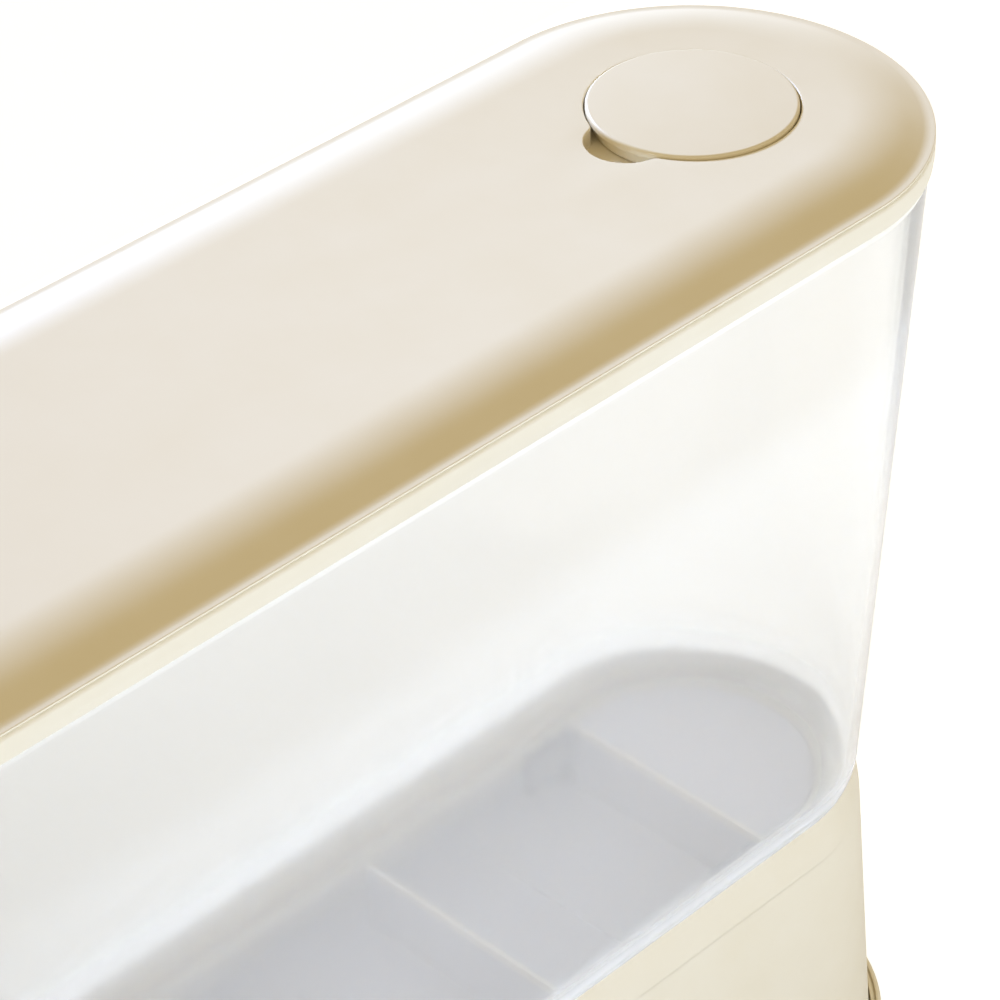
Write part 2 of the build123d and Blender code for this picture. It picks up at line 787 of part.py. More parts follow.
def lid_shoulder(drop):
    """The arc from the lid's raised middle down to its ledge, a wall's depth below the top surface."""
    start_radius = lid_radius - ledge_top_width - shoulder_width
    arc = (shoulder_width**2 + plateau_rise**2) / (2 * plateau_rise)
    centre = plateau - arc
    end_radius = start_radius + sqrt((arc - drop) ** 2 - (lid_ledge - drop - centre) ** 2)
    start = (start_radius, plateau - drop)
    end = (end_radius, lid_ledge - drop)
    return TangentArc(start, end, tangent=(1, 0)), start, end


def lid_section():
    """Half section of the lid: raised middle, soft shoulder, flat ledge, skirt and an inner lip."""
    skirt_bottom = lid_ledge - lid_skirt_height
    skirt_inner = lid_radius - lid_wall
    top_arc, top_start, top_end = lid_shoulder(0)
    under_arc, under_start, under_end = lid_shoulder(lid_wall)
    over = Polyline((0, plateau), top_start)
    edge = Polyline(
        top_end,
        (lid_radius, lid_ledge),
        (lid_radius, skirt_bottom),
        (skirt_inner, skirt_bottom),
        (skirt_inner, lid_under),
        under_end,
    )
    under = Polyline(under_start, (0, plateau - lid_wall), (0, plateau))
    section = make_face(over + top_arc + edge + under_arc + under)
    section = rounded(section, shoulder_foot_round, top_end)
    section = rounded(section, lid_edge, (lid_radius, lid_ledge), (lid_radius, skirt_bottom))
    lip_outer = neck_radius - hopper_wall - lip_gap
    return section + band(lip_outer - lip_wall, lip_outer, lid_under - lip_depth, lid_ledge - lid_wall / 2)


def well_plan(grow):
    """The cap's round well and the finger notch, joined by small arcs, grown outwards by a distance."""
    well = cap_radius + cap_gap + grow
    notch = notch_radius + grow
    corner = notch_corner - grow
    along = (notch_offset**2 + (well + corner) ** 2 - (notch + corner) ** 2) / (2 * notch_offset)
    bend_centre = Vector(-along, sqrt((well + corner) ** 2 - along**2))
    notch_centre = Vector(-notch_offset, 0)
    on_well = bend_centre * (well / (well + corner))
    on_notch = notch_centre + (bend_centre - notch_centre) * (notch / (notch + corner))
    bend = bend_centre + ((on_well + on_notch) / 2 - bend_centre).normalized() * corner
    near = [Vector(point.X, -point.Y) for point in (on_well, bend, on_notch)]
    edges = [
        ThreePointArc(near[0], (well, 0), on_well),
        ThreePointArc(on_well, bend, on_notch),
        ThreePointArc(on_notch, (-notch_offset - notch, 0), near[2]),
        ThreePointArc(near[2], near[1], near[0]),
    ]
    return Pos(cap_x, 0) * make_face(Curve() + edges)


def lid():
    """Cover with a pillowed top, a well for the cap, a finger notch and stiffening ribs below."""
    body = around(lid_section())
    under = plateau - lid_wall
    rib_reach = lid_radius - ledge_top_width - shoulder_width
    for number in range(lid_rib_count):
        x = number * lid_rib_pitch - half_straight
        half = lid_rib_thickness / 2
        body += block(x - half, x + half, -rib_reach, rib_reach, under - lid_rib_depth, under + lid_wall / 2)
    tub_bottom = well_floor - well_wall
    body += Pos(0, 0, tub_bottom) * extrude(well_plan(well_wall), under + lid_wall / 2 - tub_bottom)
    body -= Pos(0, 0, well_floor) * extrude(well_plan(0), well_depth + overrun)
    return body - upright(basket_radius + slip, cap_x, 0, well_floor - overrun, plateau)


def lid_gasket():
    """Flat ring under the lid's ledge that rests on the hopper's neck."""
    inner = neck_radius - hopper_wall - lip_gap + lid_gasket_gap
    outer = lid_radius - lid_wall - lid_gasket_gap
    return around(band(inner, outer, lid_under - lid_gasket_thickness, lid_under))


def desiccant_basket():
    """Slotted tub that hangs through the well's floor by its flange."""
    bottom = well_floor - basket_depth
    flange_top = well_floor + basket_flange_thickness
    wall = band(0, basket_radius, bottom, flange_top)
    flange = band(0, basket_radius + basket_flange_width, well_floor, flange_top)
    hollow = band(0, basket_inner_radius, bottom + basket_wall, flange_top + overrun)
    tub = turned_about(cap_x, wall + flange - hollow)
    low = bottom + (basket_depth - basket_slot_height) / 2
    half = basket_slot_width / 2
    slot = block(0, basket_radius + overrun, -half, half, low, low + basket_slot_height)
    slot -= upright(basket_inner_radius / 2, 0, 0, low - overrun, low + basket_slot_height + overrun)
    for number in range(basket_slot_count):
        tub -= Pos(cap_x, 0, 0) * Rot(0, 0, number * 2 * half_turn / basket_slot_count) * slot
    for number in range(basket_floor_slot_count):
        y = (number - (basket_floor_slot_count - 1) / 2) * basket_floor_slot_pitch
        reach = sqrt(basket_inner_radius**2 - y**2) * basket_floor_slot_share
        tub -= block(cap_x - reach, cap_x + reach, y - half, y + half, bottom - overrun, bottom + overrun)
    return tub


def lid_cap():
    """Round cap: a plate with a soft edge, a set-back skirt and a plug with a groove for its seal."""
    skirt_outer = cap_radius - cap_skirt_inset
    plug_outer = basket_inner_radius - seal_gap - seal_wire_radius / 2
    plug_bottom = cap_under - cap_plug_depth
    groove_middle = plug_bottom + 2 * seal_wire_radius
    plate = rounded(band(0, cap_radius, cap_under, cap_top), cap_edge, (cap_radius, cap_top))
    skirt = band(skirt_outer - cap_skirt_wall, skirt_outer, well_floor + slip, cap_under)
    plug = band(plug_outer - cap_plug_wall, plug_outer, plug_bottom, cap_under)
    groove = Pos(seal_ring_radius(), groove_middle) * Circle(seal_wire_radius + seat / 2)
    return turned_about(cap_x, plate + skirt + plug - groove)


def seal_ring_radius():
    """Radius of the middle of the cap's seal."""
    return basket_inner_radius - seal_gap - seal_wire_radius


def cap_seal():
    """Soft ring in the plug's groove."""
    height = cap_under - cap_plug_depth + 2 * seal_wire_radius
    return turned_about(cap_x, Pos(seal_ring_radius(), height) * Circle(seal_wire_radius))


pieces = [
    lid,
    lid_gasket,
    desiccant_basket,
    lid_cap,
    cap_seal,
    hopper,
    outlet_gasket,
    base_shell,
    deck_tray,
    plinth,
    plinth_screws,
    rubber_feet,
    cup_bay,
    measuring_cup,
    gate_housing,
    gate_cover,
    housing_screws,
    gate_slide,
    push_button,
    button_bezel,
    spring_guide_rod,
    gate_spring,
]

os.makedirs("parts", exist_ok=True)
for piece in pieces:
    export_step(piece(), f"parts/{piece.__name__}.step")
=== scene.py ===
import bmesh
import bpy
import numpy as np
from mathutils import Matrix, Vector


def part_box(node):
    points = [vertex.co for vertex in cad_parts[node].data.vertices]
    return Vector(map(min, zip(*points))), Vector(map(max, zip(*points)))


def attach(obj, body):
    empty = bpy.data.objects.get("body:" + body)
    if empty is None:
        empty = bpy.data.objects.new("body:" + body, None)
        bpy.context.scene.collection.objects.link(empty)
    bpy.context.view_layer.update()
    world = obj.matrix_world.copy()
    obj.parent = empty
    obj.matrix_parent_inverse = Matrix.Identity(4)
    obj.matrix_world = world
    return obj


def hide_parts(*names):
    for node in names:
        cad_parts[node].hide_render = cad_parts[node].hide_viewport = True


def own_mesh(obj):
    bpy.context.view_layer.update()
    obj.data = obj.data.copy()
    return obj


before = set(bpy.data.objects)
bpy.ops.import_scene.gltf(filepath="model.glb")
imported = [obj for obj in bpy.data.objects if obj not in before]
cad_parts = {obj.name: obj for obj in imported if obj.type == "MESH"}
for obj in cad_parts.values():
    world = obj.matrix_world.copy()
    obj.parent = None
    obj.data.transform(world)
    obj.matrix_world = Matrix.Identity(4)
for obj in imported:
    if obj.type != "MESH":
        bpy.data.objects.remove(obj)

bl_info = {
    "name": "Grain dispenser",
    "version": (1, 0, 0),
    "blender": (4, 5, 0),
    "location": "3D View > Sidebar > Grain dispenser",
    "description": "Builds an oval grain dispenser with a clear hopper on a cream base",
    "category": "Add Mesh",
}

MM = 0.001
ARC_CELLS = 96  # cells on each half round of the oval
SIDE_CELLS = 60  # cells on each straight side of the oval
CURVE_CELLS = 8  # cells on each rounded corner of a profile
PANEL_CELLS = 32  # cells from the middle of the front to each side of its panel
PANEL_SHARES = np.array([0.0, 0.06, 0.25, 0.55])[:, None, None]  # rings from a panel's hole to its border
BAY_ROWS, BORE_ROWS = 18, 8  # rows of the base's wall beside the cup bay, and beside the button above it
TURN_CELLS, WIRE_CELLS = 72, 12  # cells along each turn of the spring, and around its wire
MERGE = 1e-7  # doubled points this near to each other, in metres, become one
FLAT_MARGIN = 1.0 * MM  # flat run kept beside a large round
FUNNEL_REACH = 0.8  # how far the funnel's outside leaves its throat, as a share of the inside's way
END_LAG = 0.035  # share of the spring's length in its first turn, and in its last
CRADLE_TURN, UNDER_TURN = (-33, -90), (-90, -47)  # arcs of the cradle's upper and lower side, in degrees


# Shared surface functions

def unit(vectors):
    return vectors / np.linalg.norm(vectors, axis=-1, keepdims=True)


def arc(middle, radius, start, end, cells=CURVE_CELLS):
    """Points on a circle from a start angle to an end angle, in degrees."""
    turn = np.radians(np.linspace(start, end, cells + 1))
    return np.asarray(middle) + radius * np.stack([np.cos(turn), np.sin(turn)], 1)


def soft_corner(before, here, after, radius):
    """One corner of a line. The arc touches both of its runs at radius / tan(half the corner),
    and the vector from its middle turns at an even rate between them."""
    if radius == 0:
        return here[None]
    back, ahead = unit(before - here), unit(after - here)
    half = 0.5 * np.arccos(np.clip(back @ ahead, -1, 1))
    middle = here + unit(back + ahead) * radius / np.sin(half)
    start = here + back * radius / np.tan(half) - middle
    end = here + ahead * radius / np.tan(half) - middle
    sweep = np.pi - 2 * half
    share = np.linspace(0, 1, CURVE_CELLS + 1)[:, None]
    return middle + (np.sin((1 - share) * sweep) * start + np.sin(share * sweep) * end) / np.sin(sweep)


def soft_line(corners):
    """A line through corners of (x, y, radius). A radius of zero leaves a corner sharp."""
    corners = np.array(corners, float)
    before, after = np.roll(corners, 1, 0), np.roll(corners, -1, 0)
    return np.concatenate([
        soft_corner(a[:2], b[:2], c[:2], b[2]) for a, b, c in zip(before, corners, after)
    ])


def oval_path(half_straight):
    """Middles and outward directions around an oval: a half round at each end and a straight
    run along each side, starting at the near side of the +X end and turning to the left."""
    turn = np.linspace(-np.pi / 2, np.pi / 2, ARC_CELLS, endpoint=False)
    run = half_straight * np.linspace(1, -1, SIDE_CELLS, endpoint=False)
    ends, sides = np.full(ARC_CELLS, half_straight), np.full(SIDE_CELLS, np.pi / 2)
    angle = np.concatenate([turn, sides, turn + np.pi, sides + np.pi])
    along = np.concatenate([ends, run, -ends, -run])
    middles = np.stack([along, np.zeros_like(along)], 1)
    return middles, np.stack([np.cos(angle), np.sin(angle)], 1)


def oval_rows(path, profile):
    """Carries a profile of (radius, height) around the oval: point = middle + radius * direction."""
    middles, outward = path
    flat = middles[None] + profile[:, 0, None, None] * outward[None]
    return level(flat, profile[:, 1])


def round_rows(middle, profile, cells=2 * ARC_CELLS):
    """Turns a profile of (radius, height) about an upright axis."""
    turn = np.linspace(0, 2 * np.pi, cells, endpoint=False)
    outward = np.stack([np.cos(turn), np.sin(turn)], 1)
    return level(np.asarray(middle) + profile[:, 0, None, None] * outward[None], profile[:, 1])


def level(flat, heights):
    """Adds a height to each row of plan points."""
    heights = np.broadcast_to(np.asarray(heights)[:, None, None], (*flat.shape[:2], 1))
    return np.concatenate([flat, heights], 2)


def ray_to_block(direction, half, corner):
    """How far a ray from the middle of a rounded block runs to its outline: to the nearest side,
    or to the corner's arc where the ray points at a corner."""
    across = np.abs(direction)
    sides = np.min(half / np.maximum(across, 1e-9), axis=1)
    core = half - corner
    reach = across @ core
    bent = reach + np.sqrt(np.maximum(reach**2 - core @ core + corner**2, 0))
    low, high = np.arctan2(core[1], half[0]), np.arctan2(half[1], core[0])
    slope = np.arctan2(across[:, 1], across[:, 0])
    return np.where((slope > low) & (slope < high), bent, sides)


def ray_to_circle(direction, middle, radius, far=1.0):
    """How far a ray from the origin runs to a circle: the far crossing or the near one."""
    reach = direction @ middle
    depth = reach**2 - middle @ middle + radius**2
    return np.where(depth >= 0, reach + far * np.sqrt(np.maximum(depth, 0)), 0.0)


def blend_rows(first, last, shares, height):
    """Flat rows between two plan outlines of equal count."""
    shares = np.asarray(shares)[:, None, None]
    return level(first + shares * (last - first), np.full(len(shares), height))


def grid_faces(index, wrap_rows=True):
    """Four-sided faces over a grid of vertex numbers that closes across its columns."""
    below = index if wrap_rows else index[:-1]
    above = np.roll(index, -1, 0) if wrap_rows else index[1:]
    return np.stack([below, np.roll(below, -1, 1), np.roll(above, -1, 1), above], -1)


def grid_piece(rows, wrap_rows=True):
    """Points and faces of one grid of rows."""
    index = np.arange(rows.shape[0] * rows.shape[1]).reshape(rows.shape[:2])
    return rows.reshape(-1, 3), grid_faces(index, wrap_rows).reshape(-1, 4)


def prism(outline, low, high):
    """A straight bar along X over an outline of (y, z), its ends closed by fans to a middle point."""
    rim = np.concatenate([outline.mean(0)[None].repeat(len(outline), 0)[None], outline[None]])
    flat = np.concatenate([rim, rim[::-1]])
    along = np.array([low, low, high, high])[:, None, None] * np.ones((4, len(outline), 1))
    return grid_piece(np.concatenate([along, flat], 2), wrap_rows=False)


def joined(*parts):
    """Several sets of points and faces as one."""
    starts = np.cumsum([0] + [len(points) for points, faces in parts])
    faces = [faces + start for (points, faces), start in zip(parts, starts)]
    return np.concatenate([points for points, faces in parts]), np.concatenate(faces)


def add_piece(name, points, faces, finish, body, slot, stands_for=(), sharp=32):
    """Makes a mesh object from points in metres and four-sided faces, merges doubled points,
    turns its faces outward and hangs it on its body."""
    mesh = bpy.data.meshes.new(name)
    mesh.vertices.add(len(points))
    mesh.vertices.foreach_set("co", np.asarray(points, np.float32).ravel())
    mesh.loops.add(faces.size)
    mesh.loops.foreach_set("vertex_index", faces.astype(np.int32).ravel())
    mesh.polygons.add(len(faces))
    mesh.polygons.foreach_set("loop_start", np.arange(0, faces.size, 4, dtype=np.int32))
    mesh.update(calc_edges=True)
    work = bmesh.new()
    work.from_mesh(mesh)
    bmesh.ops.remove_doubles(work, verts=work.verts, dist=MERGE)
    bmesh.ops.dissolve_degenerate(work, edges=work.edges, dist=MERGE)
    bmesh.ops.recalc_face_normals(work, faces=work.faces)
    work.to_mesh(mesh)
    work.free()
    mesh.shade_smooth()
    mesh.set_sharp_from_angle(angle=np.radians(sharp))
    mesh.materials.append(finish)
    piece = bpy.data.objects.new(name, mesh)
    bpy.context.scene.collection.objects.link(piece)
    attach(piece, body)
    if stands_for:
        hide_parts(*stands_for)
    return piece


# Sizes from the frame

def oval_of(node):
    """Half the straight run and the largest radius of an oval node."""
    low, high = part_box(node)
    return high[0] - high[1], high[1]


lid_low, lid_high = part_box("lid")
cap_low, cap_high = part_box("lid_cap")
hopper_low, hopper_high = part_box("hopper")
base_low, base_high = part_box("base_shell")
spring_low, spring_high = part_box("gate_spring")
half_straight, lid_radius = oval_of("lid")
hopper_radius = oval_of("hopper")[1]
base_radius = oval_of("base_shell")[1]
cap_radius = cap_high[1]


def length(name, description, default):
    return bpy.props.FloatProperty(
        name=name, description=description, default=default, unit="LENGTH", precision=4
    )


def mm(name, description, size):
    return length(name, description, size * MM)


def linear(code):
    """A colour from its sRGB hex value to the linear value that shaders use."""
    part = np.array([int(code[i:i + 2], 16) for i in (1, 3, 5)]) / 255
    return tuple(np.where(part <= 0.04045, part / 12.92, ((part + 0.055) / 1.055) ** 2.4))


def colour(name, description, code):
    return bpy.props.FloatVectorProperty(
        name=name, description=description, default=linear(code), subtype="COLOR", size=3, min=0, max=1
    )


class DispenserOval(bpy.types.PropertyGroup):
    """The oval plan that the lid, the hopper and the base share."""

    half_straight: length("Half straight", "Half of the straight run of the oval", half_straight)
    lid_radius: length("Lid radius", "Outer radius of the lid's skirt", lid_radius)
    hopper_radius: length("Hopper radius", "Outer radius of the hopper under its neck", hopper_radius)
    base_radius: length("Base radius", "Outer radius of the base at its foot", base_radius)


class DispenserLid(bpy.types.PropertyGroup):
    """The moulded lid and its round cap."""

    top: length("Top", "Height of the flat top", lid_high[2])
    bottom: length("Bottom", "Height of the skirt's lower edge", lid_low[2])
    wall: mm("Wall", "Thickness of the moulded wall", 2.2)
    rise: mm("Rise", "Rise of the flat top over the ledge", 6.3)
    ledge: mm("Ledge", "Width of the ledge from the foot of the slope to the edge", 2.8)
    shoulder_run: mm("Shoulder run", "Plan width of the shoulder's slope, from its crest line", 14.5)
    shoulder_round: mm("Shoulder round", "Radius of the crest between flat top and slope", 46.0)
    foot_round: mm("Foot round", "Radius where the shoulder meets the ledge", 7.0)
    rim_height: mm("Rim height", "Height of the thin rim around the ledge", 0.7)
    rim_back: mm("Rim back", "How far the rim stands back from the skirt", 0.15)
    groove_drop: mm("Groove drop", "Drop from the rim's foot to the groove's root", 0.2)
    edge_groove: mm("Edge groove", "Depth of the parting groove under the rim", 1.0)
    edge_round: mm("Edge round", "Radius of the skirt's top edge", 2.2)
    step_drop: mm("Step drop", "Depth of the parting step below the ledge", 6.8)
    step: mm("Step", "How far the lower skirt stands back", 0.25)
    lip_radius: mm("Lip radius", "Outer radius of the lip that enters the hopper", 69.1)
    lip_wall: mm("Lip wall", "Thickness of the lip", 1.8)
    lip_bottom: mm("Lip bottom", "Height of the lip's lower edge", 374.5)
    rib_depth: mm("Rib depth", "Depth of the stiffening ribs under the top", 5.0)
    rib_run: mm("Rib run", "Length of the slope at each end of a rib", 3.0)
    rib_rise: mm("Rib rise", "Height of that slope", 2.0)
    rib_root: mm("Rib root", "How far a rib reaches into the top", 0.3)
    rib_wall: mm("Rib wall", "Thickness of the stiffening ribs", 1.6)
    well_depth: mm("Well depth", "Depth of the well that the cap lies in", 5.8)
    well_gap: mm("Well gap", "Gap around the cap", 0.5)
    well_foot: mm("Well foot", "Slope between the well's floor and wall", 0.4)
    tub_wall: mm("Tub wall", "Thickness of the tub around the well", 2.0)
    well_round: mm("Well round", "Radius of the well's rim", 0.5)
    notch_radius: mm("Notch radius", "Radius of the finger notch", 13.0)
    notch_offset: mm("Notch offset", "Distance of the notch from the cap's middle", 29.7)
    notch_corner: mm("Notch corner", "Radius where the notch meets the well", 4.0)
    basket_hole: mm("Basket hole", "Radius of the hole for the desiccant basket", 26.5)
    cap_top: length("Cap top", "Height of the cap's top", cap_high[2])
    cap_bottom: length("Cap bottom", "Height of the plug's lower edge", cap_low[2])
    cap_radius: length("Cap radius", "Radius of the cap", cap_radius)
    cap_plate: mm("Cap plate", "Thickness of the cap's plate", 2.4)
    cap_round: mm("Cap round", "Radius of the cap's top edge", 1.1)
    cap_skirt: mm("Cap skirt", "Outer radius of the cap's skirt", 31.2)
    cap_skirt_bottom: mm("Cap skirt bottom", "Height of the skirt's lower edge", 384.8)
    cap_plug: mm("Cap plug", "Outer radius of the cap's plug", 23.8)
    cap_wall: mm("Cap wall", "Thickness of the skirt and the plug", 2.0)
    seal_top: mm("Seal top", "Height of the top of the seal's groove", 383.1)
    seal_depth: mm("Seal depth", "Depth of the seal's groove", 1.05)
    seal_height: mm("Seal height", "Height of the seal's groove at its root", 1.0)
    seal_flare: mm("Seal flare", "How far the groove widens to each side", 0.5)


class DispenserHopper(bpy.types.PropertyGroup):
    """The clear hopper with its funnel and snap tabs."""

    top: length("Top", "Height of the mouth", hopper_high[2])
    floor: mm("Floor", "Height of the floor's underside", 124.0)
    spout: length("Spout", "Height of the spout's lower end", hopper_low[2])
    wall: mm("Wall", "Thickness of the wall", 2.6)
    floor_radius: mm("Floor radius", "Radius of the wall at the floor", 58.99)
    floor_round: mm("Floor round", "Radius of the lower edge", 14.0)
    neck_height: mm("Neck height", "Height of the neck that the lid closes over", 5.7)
    neck_step: mm("Neck step", "How far the neck stands back", 1.4)
    neck_ramp: mm("Neck ramp", "Height of the ramp inside the neck", 4.0)
    neck_edge: mm("Neck edge", "Radius of the mouth's edges", 0.8)
    funnel_long: mm("Funnel length", "Length of the funnel's mouth along the hopper", 44.0)
    funnel_wide: mm("Funnel width", "Width of the funnel's mouth", 81.93)
    funnel_corner: mm("Funnel corner", "Corner radius of the funnel's mouth", 8.0)
    throat_long: mm("Throat length", "Length of the throat along the hopper", 10.0)
    throat_wide: mm("Throat width", "Width of the throat", 55.93)
    throat_corner: mm("Throat corner", "Corner radius of the throat", 3.0)
    funnel_drop: mm("Funnel drop", "Drop of the funnel", 13.0)
    tab_face: mm("Tab face", "Distance of the snap tabs' outer face from the middle line", 44.1)
    tab_width: mm("Tab width", "Width of a snap tab", 22.0)
    tab_wall: mm("Tab wall", "Thickness of a snap tab", 2.0)
    tab_length: mm("Tab length", "Length of a snap tab below the floor", 16.0)
    tab_barb: mm("Tab barb", "How far the barb stands out", 1.4)
    tab_catch: mm("Tab catch", "Drop from the floor to the barb", 3.1)
    tab_rear: mm("Rear tabs", "Place of the rear tabs along X", 145.0)
    tab_front: mm("Front tabs", "Place of the front tabs along X", -75.0)


class DispenserBase(bpy.types.PropertyGroup):
    """The cream base shell with its bay and button hole."""

    bottom: length("Bottom", "Height of the lower edge", base_low[2])
    top: length("Top", "Height of the top edge", base_high[2])
    wall: mm("Wall", "Thickness of the wall", 2.6)
    neck_radius: mm("Neck radius", "Radius of the wall where the shoulder starts", 61.31)
    neck: mm("Neck", "Height where the shoulder starts", 116.0)
    top_radius: mm("Top radius", "Radius of the top edge", 58.27)
    shoulder_round: mm("Shoulder round", "Radius of the shoulder", 56.9)
    shoulder_rise: mm("Shoulder rise", "Height of the shoulder's corner over the neck", 8.0)
    edge_round: mm("Edge round", "Radius of the top edge", 0.3)
    edge_run: mm("Edge run", "Plan width of the slope inside the top edge", 2.9)
    edge_drop: mm("Edge drop", "Drop of that slope", 3.6)
    cradle_inset: mm("Cradle inset", "How far inside the hopper its round's middle lies", 13.49)
    cradle_gap: mm("Cradle gap", "Gap between the hopper and its cradle", 0.3)
    cradle_wall: mm("Cradle wall", "Thickness of the cradle", 2.5)
    panel_split: mm("Panel split", "Height between the panels of the bay and the button", 85.0)
    panel_top: mm("Panel top", "Height where the button's panel ends", 121.5)
    shelf_reach: mm("Shelf reach", "Distance of the deck's shelf from the rear round's middle", 11.0)
    rib_pitch: mm("Rib pitch", "Distance between the deck's ribs", 100.0)
    # Painted highlight: width of the paler bands on the shelf edge and rib tops, and how far below the clear
    # floor they start
    highlight_width: mm("Lip width", "Width of the paler edges of shelf and ribs", 3.2)
    window: mm("Window", "Radius of the opening under the hopper", 44.4)
    bay_half: mm("Bay half width", "Half width of the cup bay's opening", 46.3)
    bay_low: mm("Bay low", "Height of the opening's lower side", 13.0)
    bay_high: mm("Bay high", "Height of the opening's upper side", 82.4)
    bay_corner: mm("Bay corner", "Corner radius of the opening", 10.3)
    bore: mm("Bore", "Radius of the hole for the button's bezel", 14.1)
    bore_height: mm("Bore height", "Height of the button's axis", 101.8)


class DispenserSpring(bpy.types.PropertyGroup):
    """The coil spring behind the gate."""

    start: length("Start", "Front end of the spring along X", spring_low[0])
    end: length("End", "Rear end of the spring along X, at its stop", spring_high[0])
    height: length("Height", "Height of the spring's axis", 0.5 * (spring_low[2] + spring_high[2]))
    radius: length("Radius", "Outer radius of the coil", 0.5 * (spring_high[2] - spring_low[2]))
    wire: mm("Wire", "Radius of the wire", 0.45)
    turns: bpy.props.IntProperty(name="Turns", description="Number of turns", default=9, min=3)
    pressed: bpy.props.FloatProperty(
        name="Pressed", description="Share of its length that is left when the button is pressed",
        default=0.752, subtype="FACTOR", min=0.1, max=1)


class DispenserColours(bpy.types.PropertyGroup):
    """The colours of the moulded plastics, the small parts and the floor."""

    cream: colour("Cream", "Moulded cream plastic", "#EBE4D2")
    cream_shade: colour("Cream shade", "Cream plastic where the resin runs denser", "#E6DDC6")
    clear: colour("Clear", "Clear plastic", "#FDFEFE")
    milk: colour("Milk", "Haze of the clear plastic", "#F5F4F3")
    white: colour("White", "White plastic of the works", "#F0EFEA")
    grey: colour("Grey", "Pale grey plastic of the deck", "#E2DFE0")
    # Painted highlight: a paler tone on the deck's shelf edge and rib tops, standing for the light they catch
    # under the clear floor
    lip: colour("Lip", "Edges of the deck that touch the clear floor", "#FFF6E0")
    silicone: colour("Silicone", "Seals", "#E9E9E6")
    rubber: colour("Rubber", "Feet", "#55534F")
    steel: colour("Steel", "Screws, rod and spring", "#B9BBBE")
    floor: colour("Floor", "Studio floor", "#C0C0C0")


GROUPS = {
    "dispenser_oval": DispenserOval,
    "dispenser_lid": DispenserLid,
    "dispenser_hopper": DispenserHopper,
    "dispenser_base": DispenserBase,
    "dispenser_spring": DispenserSpring,
    "dispenser_colours": DispenserColours,
}


# Materials

def add_node(tree, kind, sockets=None, **settings):
    """Adds a node with its settings. A socket, by name or number, gets a value, or a link when the
    value is another node's output, or a node, which stands for its first output in use."""
    made = tree.nodes.new(kind)
    for name, value in settings.items():
        setattr(made, name, value)
    for key, value in (sockets or {}).items():
        if isinstance(value, bpy.types.Node):
            value = next(output for output in value.outputs if output.enabled)
        if isinstance(value, bpy.types.NodeSocket):
            tree.links.new(value, made.inputs[key])
        else:
            made.inputs[key].default_value = value
    return made


CREAM = "polypropylene_moulded_cream"
PLASTIC_IOR = 1.47
MOTTLE = 26 * MM  # size of the resin's broad clouds
FLOW_WIDTH, FLOW_LENGTH = 9 * MM, 350 * MM  # flow lines of the clear walls
MATT_END, RING, FADE_START, FADE_END = 7 * MM, 3 * MM, 5 * MM, 22 * MM  # heights over a frosted floor
NO_FROST = -0.1  # a height below the whole part
SHADOW_TINT = (0.884, 0.847, 0.775)  # lamp light that a clear skin lets through
FLOOR_FRONT, FLOOR_REAR = (-0.25, 0.13), (0.8, 0.85)  # places along X, and the floor's own light there
FLOOR_OPEN = 0.82  # the floor's own light for the camera


def new_material(name):
    """The node tree of a new material, and its socket for the place on the part, in metres."""
    material = bpy.data.materials.new(name)
    material.use_nodes = True
    tree = material.node_tree
    tree.nodes.clear()
    return tree, add_node(tree, "ShaderNodeTexCoord").outputs["Object"]


def rgba(value):
    return (*value, 1.0)


def moulded(name, light, dense, roughness, grain, painted_highlights=None):
    """Moulded plastic: broad mottling of the resin, and a fine spark-eroded grain that softens
    the gloss without showing as dots. Painted highlights are paler bands across the part, standing
    for rib tops that catch the light: a width at every pitch, on what stands above a height."""
    tree, place = new_material(name)
    broad = add_node(tree, "ShaderNodeTexNoise", {"Vector": place, "Scale": 1 / MOTTLE, "Detail": 3.0})
    fine = add_node(tree, "ShaderNodeTexNoise", {"Vector": place, "Scale": 1 / grain, "Detail": 2.0})
    mix = add_node(
        tree, "ShaderNodeMix", {"Factor": broad, "A": rgba(light), "B": rgba(dense)}, data_type="RGBA")
    # Painted highlight: paler bands at each pitch on what stands above a height, for the light that rib tops
    # catch
    if painted_highlights:
        tone, front, pitch, width, low = painted_highlights
        spot = add_node(tree, "ShaderNodeSeparateXYZ", {"Vector": place})
        across = spot.outputs["X"]
        for operation, value in (
                ("SUBTRACT", front - width / 2), ("FLOORED_MODULO", pitch), ("LESS_THAN", width)):
            across = add_node(tree, "ShaderNodeMath", {0: across, 1: value}, operation=operation)
        upper = add_node(tree, "ShaderNodeMath", {0: spot.outputs["Z"], 1: low}, operation="GREATER_THAN")
        edge = add_node(tree, "ShaderNodeMath", {0: across, 1: upper}, operation="MULTIPLY")
        mix = add_node(
            tree, "ShaderNodeMix", {"Factor": edge, "A": mix, "B": rgba(tone)}, data_type="RGBA")
    gloss = add_node(tree, "ShaderNodeMapRange", {
        "Value": broad, "To Min": roughness - 0.05, "To Max": roughness + 0.05})
    bump = add_node(tree, "ShaderNodeBump", {"Height": fine, "Strength": 0.12, "Distance": 0.02 * MM})
    skin = add_node(tree, "ShaderNodeBsdfPrincipled", {
        "Base Color": mix, "Roughness": gloss, "IOR": PLASTIC_IOR, "Specular IOR Level": 0.25, "Normal": bump})
    add_node(tree, "ShaderNodeOutputMaterial", {"Surface": skin})


